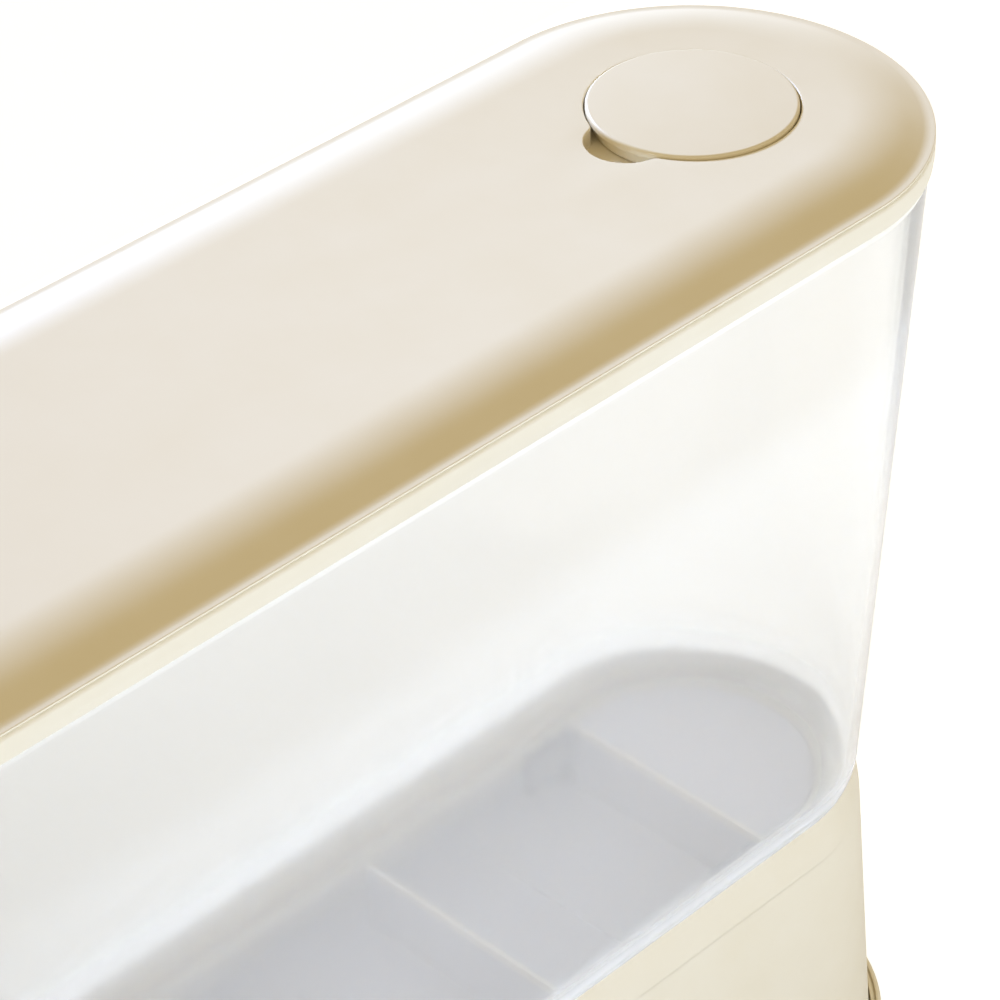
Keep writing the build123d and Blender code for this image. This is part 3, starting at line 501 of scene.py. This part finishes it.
def clear_moulded(name, clear, milk, roughness, haze, frost=NO_FROST):
    """Clear moulded plastic: it refracts, with upright flow lines that bend what lies behind and a
    thin milky haze. About the frost height, the top of a floor, it is cloudier, most of all in the
    ring just above it. Lamps shine through it, so that the inside is lit."""
    tree, place = new_material(name)
    drawn = add_node(tree, "ShaderNodeMapping", {
        "Vector": place, "Scale": (1 / FLOW_WIDTH, 1 / FLOW_WIDTH, 1 / FLOW_LENGTH)})
    flow = add_node(tree, "ShaderNodeTexNoise", {"Vector": drawn, "Scale": 1.0, "Detail": 2.0})
    bump = add_node(tree, "ShaderNodeBump", {"Height": flow, "Strength": 0.25, "Distance": 0.12 * MM})
    height = add_node(tree, "ShaderNodeSeparateXYZ", {"Vector": place}).outputs["Z"]
    matt = add_node(tree, "ShaderNodeMapRange", {
        "Value": height, "From Min": frost, "From Max": frost + MATT_END,
        "To Min": 0.045, "To Max": roughness})
    lower = add_node(tree, "ShaderNodeMapRange", {
        "Value": height, "From Min": frost, "From Max": frost + RING, "To Min": 0.26, "To Max": 0.42})
    cloudy = add_node(tree, "ShaderNodeMapRange", {
        "Value": height, "From Min": frost + FADE_START, "From Max": frost + FADE_END,
        "To Min": lower, "To Max": haze})
    glass = add_node(tree, "ShaderNodeBsdfPrincipled", {
        "Base Color": rgba(clear), "Roughness": matt, "IOR": PLASTIC_IOR,
        "Transmission Weight": 1.0, "Normal": bump})
    cloud = add_node(tree, "ShaderNodeBsdfTranslucent", {"Color": rgba(milk)})
    veil = add_node(tree, "ShaderNodeBsdfDiffuse", {"Color": rgba(milk)})
    hazy = add_node(tree, "ShaderNodeMixShader", {0: 0.5, 1: cloud, 2: veil})
    body = add_node(tree, "ShaderNodeMixShader", {0: cloudy, 1: glass, 2: hazy})
    through = add_node(tree, "ShaderNodeBsdfTransparent", {"Color": rgba(SHADOW_TINT)})
    ray = add_node(tree, "ShaderNodeLightPath")
    both = add_node(tree, "ShaderNodeMixShader", {0: ray.outputs["Is Shadow Ray"], 1: body, 2: through})
    add_node(tree, "ShaderNodeOutputMaterial", {"Surface": both})


def drawn_steel(name, tone):
    """Zinc-plated steel: metallic, with fine brushed variation of its gloss."""
    tree, place = new_material(name)
    brushed = add_node(tree, "ShaderNodeTexNoise", {"Vector": place, "Scale": 1 / (0.6 * MM), "Detail": 4.0})
    gloss = add_node(tree, "ShaderNodeMapRange", {
        "Value": brushed, "To Min": 0.22, "To Max": 0.42})
    skin = add_node(tree, "ShaderNodeBsdfPrincipled", {
        "Base Color": rgba(tone), "Metallic": 1.0, "Roughness": gloss})
    add_node(tree, "ShaderNodeOutputMaterial", {"Surface": skin})


def studio_floor(name, tone):
    """A matt white sweep: it keeps the soft shadow. Light of its own lifts the open floor to white
    for the camera, and grows to the rear for what sees it through the clear walls."""
    tree, place = new_material(name)
    paper = add_node(tree, "ShaderNodeTexNoise", {"Vector": place, "Scale": 1 / (40 * MM)})
    gloss = add_node(tree, "ShaderNodeMapRange", {
        "Value": paper, "To Min": 0.8, "To Max": 0.95})
    ray = add_node(tree, "ShaderNodeLightPath")
    along = add_node(tree, "ShaderNodeSeparateXYZ", {"Vector": place}).outputs["X"]
    fall = add_node(tree, "ShaderNodeMapRange", {
        "Value": along, "From Min": FLOOR_FRONT[0], "From Max": FLOOR_REAR[0],
        "To Min": FLOOR_FRONT[1], "To Max": FLOOR_REAR[1]})
    seen = add_node(tree, "ShaderNodeMapRange", {
        "Value": ray.outputs["Diffuse Depth"], "To Min": fall, "To Max": 0.0})
    lift = add_node(tree, "ShaderNodeMapRange", {
        "Value": ray.outputs["Is Camera Ray"], "To Min": seen, "To Max": FLOOR_OPEN})
    skin = add_node(tree, "ShaderNodeBsdfPrincipled", {
        "Base Color": rgba(tone), "Roughness": gloss, "Specular IOR Level": 0.1,
        "Emission Color": (1.0, 1.0, 1.0, 1.0), "Emission Strength": lift})
    add_node(tree, "ShaderNodeOutputMaterial", {"Surface": skin})


def finish(name):
    return bpy.data.materials[name]


# Pieces

def well_outline(sizes, middle, grow, directions):
    """The cap's well seen from above, as a distance from the cap's middle in each direction: the
    farther of the well's circle and the notch's, with a tangent arc of the corner radius across
    each inner corner where the two circles meet."""
    well = sizes.cap_radius + sizes.well_gap + grow
    notch = sizes.notch_radius + grow
    corner = sizes.notch_corner - grow
    offset = sizes.notch_offset
    along = (offset**2 + (well + corner)**2 - (notch + corner)**2) / (2 * offset)
    side = np.sqrt((well + corner)**2 - along**2)
    bend = np.array([-along, side])
    notch_middle = np.array([-offset, 0.0])
    on_well = bend * well / (well + corner)
    on_notch = notch_middle + (bend - notch_middle) * notch / (notch + corner)
    folded = np.stack([directions[:, 0], np.abs(directions[:, 1])], 1)
    slope = np.arctan2(folded[:, 1], folded[:, 0])
    start, end = np.arctan2(on_well[1], on_well[0]), np.arctan2(on_notch[1], on_notch[0])
    far = np.where(slope < start, well, ray_to_circle(folded, notch_middle, notch))
    bent = ray_to_circle(folded, bend, corner, far=-1.0)
    far = np.where((slope >= start) & (slope <= end), bent, far)
    return middle + far[:, None] * directions


class DISPENSER_OT_materials(bpy.types.Operator):
    """Make the materials of the dispenser"""

    bl_idname = "dispenser.materials"
    bl_label = "Make materials"

    def execute(self, context):
        scene = context.scene
        c, hopper, base = scene.dispenser_colours, scene.dispenser_hopper, scene.dispenser_base
        moulded(CREAM, c.cream, c.cream_shade, 0.42, 0.5 * MM)
        moulded("abs_moulded_white", c.white, c.white, 0.36, 0.4 * MM)
        shelf = scene.dispenser_oval.half_straight - base.shelf_reach
        # The deck's shelf edge and rib tops get a painted highlight
        painted_highlights = c.lip, shelf, base.rib_pitch, base.highlight_width, hopper.floor - base.highlight_width
        moulded("abs_moulded_grey", c.grey, c.grey, 0.4, 0.4 * MM, painted_highlights)
        moulded("silicone_cast", c.silicone, c.silicone, 0.55, 0.3 * MM)
        moulded("rubber_pressed", c.rubber, c.rubber, 0.7, 0.6 * MM)
        clear_moulded("styrene_moulded_clear", c.clear, c.milk, 0.06, 0.10, hopper.floor + hopper.wall)
        clear_moulded("styrene_moulded_cup", c.clear, c.milk, 0.06, 0.10)
        drawn_steel("steel_zinc_plated", c.steel)
        studio_floor("paper_sweep_white", c.floor)
        return {"FINISHED"}


class DISPENSER_OT_lid(bpy.types.Operator):
    """Build the lid with its well, ledge, skirt and ribs"""

    bl_idname = "dispenser.lid"
    bl_label = "Build lid"

    def execute(self, context):
        oval, s = context.scene.dispenser_oval, context.scene.dispenser_lid
        path = oval_path(oval.half_straight)
        middle = np.array([oval.half_straight, 0.0])
        flat_radius = self.crest(s, oval.lid_radius)[1]
        plate = path[0] + flat_radius * path[1]
        directions = unit(plate - middle)
        floor = s.top - s.well_depth
        shell = oval_rows(path, self.profile(s, oval.lid_radius))
        top = self.top_rows(s, plate, middle, directions, floor)
        under = self.under_rows(s, shell[-1, :, :2], middle, directions, floor)
        lid = grid_piece(np.concatenate([top, shell, under]))
        ribs = [self.rib(s, flat_radius, x) for x in np.linspace(-1, 0.5, 4) * oval.half_straight]
        add_piece("lid_moulded", *joined(lid, *ribs), finish(CREAM),
                  "lid", "cream_plastic", ["lid"])
        return {"FINISHED"}

    def top_rows(self, s, plate, middle, directions, floor):
        """From the basket hole over the well's floor, wall and rim and over the flat top."""
        hole = middle + s.basket_hole * directions
        rim = arc((s.well_round, s.top - s.well_round), s.well_round, 180, 90)
        wall = [well_outline(s, middle, grow, directions) for grow in rim[:, 0]]
        inner = well_outline(s, middle, -s.well_foot, directions)
        foot = well_outline(s, middle, 0, directions)
        well = level(np.array([hole, inner, foot]), [floor, floor, floor + s.well_foot])
        deck = blend_rows(wall[-1], plate, [0.1, 0.3, 0.6, 1.0], s.top)
        return np.concatenate([well, level(np.array(wall), rim[:, 1]), deck])

    def profile(self, s, edge):
        """Radius and height from the flat top down the shoulder to the ledge, over its edge, down the
        skirt and back up inside, around the lip and under the shoulder."""
        crest, flat = self.crest(s, edge)
        ledge = s.top - s.rise
        groove = ledge - s.rim_height - s.groove_drop
        step = ledge - s.step_drop
        return soft_line([
            (flat, s.top, 0),
            (crest, s.top, s.shoulder_round),
            (edge - s.ledge, ledge, s.foot_round),
            (edge - s.rim_back, ledge, 0.25 * MM),
            (edge - s.rim_back, ledge - s.rim_height, 0.1 * MM),
            (edge - s.edge_groove, groove, 0.05 * MM),
            (edge, groove - s.edge_groove, s.edge_round),
            (edge, step, 0.1 * MM),
            (edge - s.step, step - s.step, 0.1 * MM),
            (edge - s.step, s.bottom, 0.5 * MM),
            (edge - s.wall, s.bottom, 0.4 * MM),
            (edge - s.wall, ledge - s.wall, 0.4 * MM),
            (s.lip_radius, ledge - s.wall, 0.2 * MM),
            (s.lip_radius, s.lip_bottom, 0.5 * MM),
            (s.lip_radius - s.lip_wall, s.lip_bottom, 0.5 * MM),
            (s.lip_radius - s.lip_wall, ledge - 0.2 * MM, 0),
            (crest - 0.5 * MM, s.top - s.wall, s.shoulder_round - s.wall),
            (flat, s.top - s.wall, 0),
        ])

    def crest(self, s, edge):
        """Radius of the line where flat top and slope would meet, and of the flat top's own edge,
        where the rounded crest starts: round * tan(slope / 2) further in."""
        crest = edge - s.ledge - s.shoulder_run
        slope = np.arctan2(s.rise, s.shoulder_run)
        return crest, crest - s.shoulder_round * np.tan(slope / 2) - FLAT_MARGIN

    def under_rows(self, s, plate, middle, directions, floor):
        """Across the underside to the tub around the well, and in to the basket hole."""
        under = s.top - s.wall
        tub = well_outline(s, middle, s.tub_wall, directions)
        hole = middle + s.basket_hole * directions
        deck = blend_rows(plate, tub, [0.5, 1.0], under)
        bottom = floor - s.tub_wall
        return np.concatenate([deck, level(np.array([tub, hole]), [bottom, bottom])])

    def rib(self, s, half, x):
        """A thin rib across the underside of the top."""
        under = s.top - s.wall
        high, low = under + s.rib_root, under - s.rib_depth
        side, flat = low + s.rib_rise, half - s.rib_run
        outline = soft_line([
            (-half, high, 0), (half, high, 0), (half, side, 0), (flat, low, 1 * MM),
            (-flat, low, 1 * MM), (-half, side, 0)])
        return prism(outline, x - s.rib_wall / 2, x + s.rib_wall / 2)


class DISPENSER_OT_cap(bpy.types.Operator):
    """Build the round cap with its skirt and plug"""

    bl_idname = "dispenser.cap"
    bl_label = "Build cap"

    def execute(self, context):
        oval, s = context.scene.dispenser_oval, context.scene.dispenser_lid
        under = s.cap_top - s.cap_plate
        root = s.cap_plug - s.seal_depth
        profile = soft_line([
            (0, s.cap_top, 0),
            (s.cap_radius, s.cap_top, s.cap_round),
            (s.cap_radius, under, 0.3 * MM),
            (s.cap_skirt, under, 0.3 * MM),
            (s.cap_skirt, s.cap_skirt_bottom, 0.3 * MM),
            (s.cap_skirt - s.cap_wall, s.cap_skirt_bottom, 0.3 * MM),
            (s.cap_skirt - s.cap_wall, under, 0.3 * MM),
            (s.cap_plug, under, 0.3 * MM),
            (s.cap_plug, s.seal_top + s.seal_flare, 0),
            (root, s.seal_top, 0),
            (root, s.seal_top - s.seal_height, 0),
            (s.cap_plug, s.seal_top - s.seal_height - s.seal_flare, 0),
            (s.cap_plug, s.cap_bottom, 0.3 * MM),
            (s.cap_plug - s.cap_wall, s.cap_bottom, 0.3 * MM),
            (s.cap_plug - s.cap_wall, under, 0.5 * MM),
            (0, under, 0),
        ])
        rows = round_rows((oval.half_straight, 0.0), profile)
        add_piece("cap_moulded", *grid_piece(rows, wrap_rows=False), finish(CREAM),
                  "cap", "cream_plastic", ["lid_cap"])
        return {"FINISHED"}


class DISPENSER_OT_hopper(bpy.types.Operator):
    """Build the clear hopper with its funnel and snap tabs"""

    bl_idname = "dispenser.hopper"
    bl_label = "Build hopper"

    def execute(self, context):
        oval, s = context.scene.dispenser_oval, context.scene.dispenser_hopper
        path = oval_path(oval.half_straight)
        middle = np.array([-oval.half_straight, 0.0])
        floor_plan = path[0] + (s.floor_radius - s.floor_round) * path[1]
        directions = unit(floor_plan - middle)

        def slot(long, wide, corner, grow=0.0):
            half = np.array([long / 2 + grow, wide / 2 + grow])
            return middle + ray_to_block(directions, half, corner + grow)[:, None] * directions

        throat = slot(s.throat_long, s.throat_wide, s.throat_corner)
        mouth = slot(s.funnel_long, s.funnel_wide, s.funnel_corner)
        spigot = slot(s.throat_long, s.throat_wide, s.throat_corner, s.wall)
        skirt = slot(s.funnel_long, s.funnel_wide, s.funnel_corner, s.wall)
        funnel = spigot + FUNNEL_REACH * (skirt - spigot)
        inside = s.floor + s.wall
        neck = inside - s.funnel_drop
        wall = self.wall_profile(s, oval.hopper_radius)
        inner = path[0] + wall[0, 0] * path[1]
        outer = path[0] + wall[-1, 0] * path[1]
        rows = np.concatenate([
            level(np.array([throat, throat]), [s.spout, neck]),
            blend_rows(mouth, inner, [0.0, 0.15, 0.4, 0.7], inside),
            oval_rows(path, wall),
            blend_rows(outer, funnel, [0.3, 0.6, 0.85, 1.0], s.floor),
            level(np.array([spigot, spigot]), [neck, s.spout]),
        ])
        tabs = [self.tab(s, x, side) for x in (s.tab_rear, s.tab_front) for side in (1, -1)]
        add_piece("hopper_moulded", *joined(grid_piece(rows), *tabs), finish("styrene_moulded_clear"),
                  "base", "clear_plastic", ["hopper"])
        return {"FINISHED"}

    def tab(self, s, x, side):
        """A springy tab under the floor, with a barb on its outer face."""
        tip, catch = s.floor - s.tab_length, s.floor - s.tab_catch
        outline = np.array([
            (s.tab_face - s.tab_wall, s.floor), (s.tab_face, s.floor), (s.tab_face, catch),
            (s.tab_face + s.tab_barb, catch), (s.tab_face, tip), (s.tab_face - s.tab_wall, tip)])
        return prism(outline * [side, 1], x - s.tab_width / 2, x + s.tab_width / 2)

    def wall_profile(self, s, radius):
        """From the floor inside, up the wall, over the mouth and neck and down the outside."""
        neck = s.top - s.neck_height
        draft = (radius - s.floor_radius) / (neck - s.floor)
        inside = s.floor + s.wall
        ramp = neck - s.neck_ramp

        def inner(height):
            return s.floor_radius + draft * (height - s.floor) - s.wall

        return soft_line([
            (s.floor_radius - s.floor_round - FLAT_MARGIN, inside, 0),
            (inner(inside), inside, s.floor_round - s.wall),
            (inner(0.5 * (inside + ramp)), 0.5 * (inside + ramp), 0),
            (inner(ramp), ramp, 0.6 * MM),
            (radius - s.neck_step - s.wall, neck, 0.6 * MM),
            (radius - s.neck_step - s.wall, s.top, s.neck_edge),
            (radius - s.neck_step, s.top, s.neck_edge),
            (radius - s.neck_step, neck, 0.3 * MM),
            (radius, neck, 0.5 * MM),
            (inner(0.5 * (inside + ramp)) + s.wall, 0.5 * (inside + ramp), 0),
            (s.floor_radius, s.floor, s.floor_round),
            (s.floor_radius - s.floor_round - FLAT_MARGIN, s.floor, 0),
        ])


class DISPENSER_OT_base(bpy.types.Operator):
    """Build the base shell with its bay opening and button hole"""

    bl_idname = "dispenser.base"
    bl_label = "Build base"

    def execute(self, context):
        oval, s = context.scene.dispenser_oval, context.scene.dispenser_base
        profile, levels = self.profile(s, context.scene.dispenser_hopper, oval.base_radius)
        rows = oval_rows(oval_path(oval.half_straight), profile)
        points, last = rows.reshape(-1, 3), len(profile) - 1
        index = np.arange(len(points)).reshape(rows.shape[:2])
        faces = grid_faces(index)
        front = ARC_CELLS + SIDE_CELLS + ARC_CELLS // 2
        columns = slice(front - PANEL_CELLS, front + PANEL_CELLS)
        keep = np.ones(faces.shape[:2], bool)
        keep[:levels[-1], columns] = False
        keep[last - levels[-1]:last, columns] = False
        sheets, kept = [points], [faces[keep]]
        bay = np.array([s.bay_half, 0.5 * (s.bay_high - s.bay_low)])
        holes = [
            (0.5 * (s.bay_low + s.bay_high), lambda rays: ray_to_block(rays, bay, s.bay_corner)),
            (s.bore_height, lambda rays: np.full(len(rays), s.bore)),
        ]
        for low, high, (height, reach) in zip(levels[:-1], levels[1:], holes):
            outer = self.loop(index, low, high, columns)
            inner = self.loop(index, last - low, last - high, columns)
            rays = unit(points[outer][:, 1:] - [0, height])
            hole = [0, height] + reach(rays)[:, None] * rays
            rings = []
            for border in (outer, inner):
                flat = hole + PANEL_SHARES * (points[border][:, 1:] - hole)
                sheet = self.on_wall(profile, oval.half_straight, flat, border is inner)
                first = sum(map(len, sheets))
                ring = first + np.arange(sheet.shape[0] * sheet.shape[1]).reshape(sheet.shape[:2])
                sheets.append(sheet.reshape(-1, 3))
                rings.append(np.concatenate([ring, border[None]]))
            band = np.concatenate([rings[1][::-1], rings[0]])
            kept.append(grid_faces(band, wrap_rows=False).reshape(-1, 4))
        add_piece("base_moulded", np.concatenate(sheets), np.concatenate(kept),
                  finish(CREAM), "base", "cream_plastic", ["base_shell"])
        return {"FINISHED"}

    def profile(self, s, hopper, radius):
        """Radius and height up the outside, over the top edge, down the hopper's cradle, around the
        opening's lip and down the inside. The levels are the rows that bound the front's panels."""
        rise = np.concatenate([
            np.linspace(s.bottom, s.panel_split, BAY_ROWS),
            np.linspace(s.panel_split, s.neck, BORE_ROWS)[1:]])
        lean = (radius - s.neck_radius) / (s.neck - s.bottom)
        outside = np.stack([radius - lean * (rise - s.bottom), rise], 1)
        shoulder = soft_line([
            (s.neck_radius, s.neck, 0),
            (s.neck_radius - lean * s.shoulder_rise, s.neck + s.shoulder_rise, s.shoulder_round),
            (s.top_radius, s.top, s.edge_round),
            (s.top_radius - s.edge_run, s.top - s.edge_drop, 0),
        ])[1:-1]
        across = hopper.floor_radius + s.cradle_gap - s.cradle_inset
        middle, gap = (across, hopper.floor + hopper.floor_round), hopper.floor_round + s.cradle_gap
        cradle = arc(middle, gap, *CRADLE_TURN)
        under = arc(middle, gap + s.cradle_wall, *UNDER_TURN)
        seat = cradle[-1, 1]
        lip = np.array([[s.window, seat], [s.window, seat - s.cradle_wall]])
        upto = np.searchsorted(shoulder[:, 1], s.panel_top)
        panel = np.concatenate([outside, shoulder[:upto]])
        inside = panel[::-1] - [s.wall, 0]
        levels = [0, BAY_ROWS - 1, len(panel) - 1]
        return np.concatenate([outside, shoulder, cradle, lip, under, inside]), levels

    def loop(self, index, low, high, columns):
        """The vertex numbers around a panel of the front, turning to the left as seen from outside."""
        first, last = columns.start, columns.stop
        step = 1 if high > low else -1
        up = np.arange(low, high, step)
        return np.concatenate([
            index[low, first:last], index[up, last],
            index[high, last:first:-1], index[up[::-1] + step, first]])

    def on_wall(self, profile, half_straight, flat, inside):
        """Lays front-view points of (y, z) on the round front: x = -half - sqrt(radius(z)^2 - y^2)."""
        half = len(profile) // 2
        line = profile[half:][::-1] if inside else profile[:half]
        radius = np.interp(flat[..., 1], line[:, 1], line[:, 0])
        x = -half_straight - np.sqrt(radius**2 - flat[..., 0]**2)
        return np.concatenate([x[..., None], flat], 2)


class DISPENSER_OT_spring(bpy.types.Operator):
    """Build the coil spring that pushes the gate shut"""

    bl_idname = "dispenser.spring"
    bl_label = "Build spring"

    def execute(self, context):
        s = context.scene.dispenser_spring
        points, faces = grid_piece(self.coil(s), wrap_rows=False)
        spring = add_piece("spring_wound", points, faces, finish("steel_zinc_plated"),
                           "base", "steel", ["gate_spring"])
        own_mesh(spring)
        return {"FINISHED"}

    def coil(self, s):
        """A round wire along a helix on the X axis. The turn angle grows at an even rate; the travel
        lags in the first and last turn, so that both ends lie closed against their seats."""
        share = np.linspace(0, 1, TURN_CELLS * s.turns + 1)
        turn = 2 * np.pi * s.turns * share
        eased = np.interp(share * s.turns, [0, 1, s.turns - 1, s.turns], [0, END_LAG, 1 - END_LAG, 1])
        wound = s.radius - s.wire
        outward = np.stack([0 * turn, np.cos(turn), np.sin(turn)], 1)
        along = s.start + s.wire + eased * (s.end - s.start - 2 * s.wire)
        path = wound * outward + np.stack([along, 0 * turn, s.height + 0 * turn], 1)
        across = np.cross(unit(np.gradient(path, axis=0)), outward)
        around = np.linspace(0, 2 * np.pi, WIRE_CELLS, endpoint=False)[None, :, None]
        skin = path[:, None] + s.wire * (np.cos(around) * outward[:, None] + np.sin(around) * across[:, None])
        ends = path[[0, -1], None].repeat(WIRE_CELLS, 1)
        return np.concatenate([ends[:1], skin, ends[1:]])


class DISPENSER_OT_works(bpy.types.Operator):
    """Finish the parts that stay as built in CAD"""

    bl_idname = "dispenser.works"
    bl_label = "Finish works"

    def execute(self, context):
        slots = {
            CREAM: ["plinth", "push_button", "button_bezel", "cup_bay"],
            "styrene_moulded_cup": ["measuring_cup"],
            "abs_moulded_grey": ["deck_tray"],
            "abs_moulded_white": ["gate_housing", "gate_cover", "gate_slide", "desiccant_basket"],
            "silicone_cast": ["lid_gasket", "cap_seal", "outlet_gasket"],
            "rubber_pressed": ["rubber_feet"],
            "steel_zinc_plated": ["plinth_screws", "housing_screws", "spring_guide_rod"],
        }
        for material, nodes in slots.items():
            for node in nodes:
                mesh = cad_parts[node].data
                mesh.materials.clear()
                mesh.materials.append(finish(material))
        return {"FINISHED"}


# Name, place, aim, size of a card or None for the spot, watts and tone. The spot from behind grazes the
# lid and leaves its near shoulder in shade; the cards light the upright sides.
LAMPS = (
    ("key_back", (0.50, 2.11, 1.28), (0.05, -0.12, 0.69), None, 553, (0.473, 0.626, 1.0)),
    ("front_card", (0.0, -0.62, 0.03), (0.0, -0.1, 0.93), (1.6, 0.5), 16.7, (0.57, 0.705, 0.94)),
    ("back_card", (0.0, 0.62, 0.03), (0.0, 0.1, 0.93), (1.6, 0.5), 16.0, (0.57, 0.705, 0.94)),
)
SPOT_BEAM, SPOT_BLEND, SPOT_RADIUS = np.radians(24), 0.35, 0.2
AMBIENT = (0.63, 0.515, 0.305)  # the surround for matt skins
INSIDE = (2.15, 1.88, 1.55)  # the same where it comes in through clear walls
THROUGH = (0.74, 0.75, 0.77)  # the surround as seen through clear walls
FLOOR_HALF = 6.0  # half the floor's side in metres
CAMERA_PLACE = (-0.57816, -0.67158, 0.97289)
CAMERA_TURN = np.radians([-44.547, 36.087, -1.398])  # azimuth, elevation and roll
CAMERA_LENS, CAMERA_SENSOR = 135.14, 36.0


class DISPENSER_OT_stage(bpy.types.Operator):
    """Set the floor, the lamps, the world and the camera"""

    bl_idname = "dispenser.stage"
    bl_label = "Set stage"

    def execute(self, context):
        scene = context.scene
        self.floor()
        for lamp in LAMPS:
            self.lamp(*lamp)
        self.world(scene)
        self.camera(scene)
        scene.view_settings.view_transform = "Standard"
        scene.view_settings.look = "None"
        return {"FINISHED"}

    def floor(self):
        mesh = bpy.data.meshes.new("floor")
        side = FLOOR_HALF
        corners = [(-side, -side, 0), (side, -side, 0), (side, side, 0), (-side, side, 0)]
        mesh.from_pydata(corners, [], [(0, 1, 2, 3)])
        mesh.materials.append(finish("paper_sweep_white"))
        floor = bpy.data.objects.new("floor", mesh)
        bpy.context.scene.collection.objects.link(floor)

    def lamp(self, name, place, aim, size, power, tone):
        """A flat card of a size, or a soft spot whose beam takes in the lid. No lamp is seen through the
        clear walls, and no card mirrors in them."""
        lamp = bpy.data.lights.new(name, "AREA" if size else "SPOT")
        lamp.energy, lamp.color = power, tone
        if size:
            lamp.shape = "RECTANGLE"
            lamp.size, lamp.size_y = size
        else:
            lamp.shadow_soft_size = SPOT_RADIUS
            lamp.spot_size, lamp.spot_blend = SPOT_BEAM, SPOT_BLEND
        hung = bpy.data.objects.new(name, lamp)
        back = unit(np.array(place) - np.array(aim))
        right = unit(np.cross([0, 0, 1.0], back))
        hung.matrix_world = self.pose(right, np.cross(back, right), back, place)
        hung.visible_camera = hung.visible_transmission = False
        hung.visible_glossy = not size
        bpy.context.scene.collection.objects.link(hung)

    def pose(self, right, up, back, place):
        pose = np.eye(4)
        pose[:3] = np.stack([right, up, back, place], 1)
        return Matrix(pose.tolist())

    def world(self, scene):
        """A white surround for the camera and shiny skins, a dimmer one behind clear walls, a warm one for
        matt skins, and a brighter one for those that it reaches through clear walls."""
        scene.world = bpy.data.worlds.new("studio")
        scene.world.use_nodes = True
        tree = scene.world.node_tree
        tree.nodes.clear()
        ray = add_node(tree, "ShaderNodeLightPath")
        matt = add_node(tree, "ShaderNodeMix", {
            "Factor": ray.outputs["Is Diffuse Ray"], "A": rgba(INSIDE), "B": rgba(AMBIENT)}, data_type="RGBA")
        seen = add_node(tree, "ShaderNodeMix", {
            "Factor": ray.outputs["Is Transmission Ray"], "A": (1.0, 1.0, 1.0, 1.0), "B": rgba(THROUGH)},
            data_type="RGBA")
        tone = add_node(tree, "ShaderNodeMix", {
            "Factor": ray.outputs["Diffuse Depth"], "A": seen, "B": matt},
            data_type="RGBA")
        sky = add_node(tree, "ShaderNodeBackground", {"Color": tone})
        add_node(tree, "ShaderNodeOutputWorld", {"Surface": sky})

    def camera(self, scene):
        lens = bpy.data.cameras.new("camera")
        lens.lens, lens.sensor_width = CAMERA_LENS, CAMERA_SENSOR
        lens.dof.use_dof = False
        held = bpy.data.objects.new("camera", lens)
        around, above, roll = CAMERA_TURN
        back = np.array([np.sin(around) * np.cos(above), -np.cos(around) * np.cos(above), np.sin(above)])
        right = unit(np.cross([0, 0, 1.0], back))
        up = np.cross(back, right)
        turned = np.cos(roll) * right + np.sin(roll) * up
        raised = np.cos(roll) * up - np.sin(roll) * right
        held.matrix_world = self.pose(turned, raised, back, CAMERA_PLACE)
        scene.collection.objects.link(held)
        scene.camera = held


class DISPENSER_PT_panel(bpy.types.Panel):
    """The dispenser's sizes, colours and build steps"""

    bl_idname = "DISPENSER_PT_panel"
    bl_label = "Grain dispenser"
    bl_space_type = "VIEW_3D"
    bl_region_type = "UI"
    bl_category = "Grain dispenser"

    def draw(self, context):
        for step in STEPS:
            self.layout.operator(step.bl_idname)
        for name, group in GROUPS.items():
            box = self.layout.box()
            for field in group.__annotations__:
                box.prop(getattr(context.scene, name), field)


STEPS = (
    DISPENSER_OT_materials,
    DISPENSER_OT_lid,
    DISPENSER_OT_cap,
    DISPENSER_OT_hopper,
    DISPENSER_OT_base,
    DISPENSER_OT_spring,
    DISPENSER_OT_works,
    DISPENSER_OT_stage,
)


def register():
    for group in GROUPS.values():
        bpy.utils.register_class(group)
    for step in (*STEPS, DISPENSER_PT_panel):
        bpy.utils.register_class(step)
    for name, group in GROUPS.items():
        setattr(bpy.types.Scene, name, bpy.props.PointerProperty(type=group))


def unregister():
    for name in GROUPS:
        delattr(bpy.types.Scene, name)
    for step in (DISPENSER_PT_panel, *reversed(STEPS)):
        bpy.utils.unregister_class(step)
    for group in reversed(GROUPS.values()):
        bpy.utils.unregister_class(group)


def main():
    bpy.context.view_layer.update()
    register()
    bpy.ops.dispenser.materials()
    bpy.ops.dispenser.lid()
    bpy.ops.dispenser.cap()
    bpy.ops.dispenser.hopper()
    bpy.ops.dispenser.base()
    bpy.ops.dispenser.spring()
    bpy.ops.dispenser.works()
    bpy.ops.dispenser.stage()


if __name__ == "__main__":
    main()
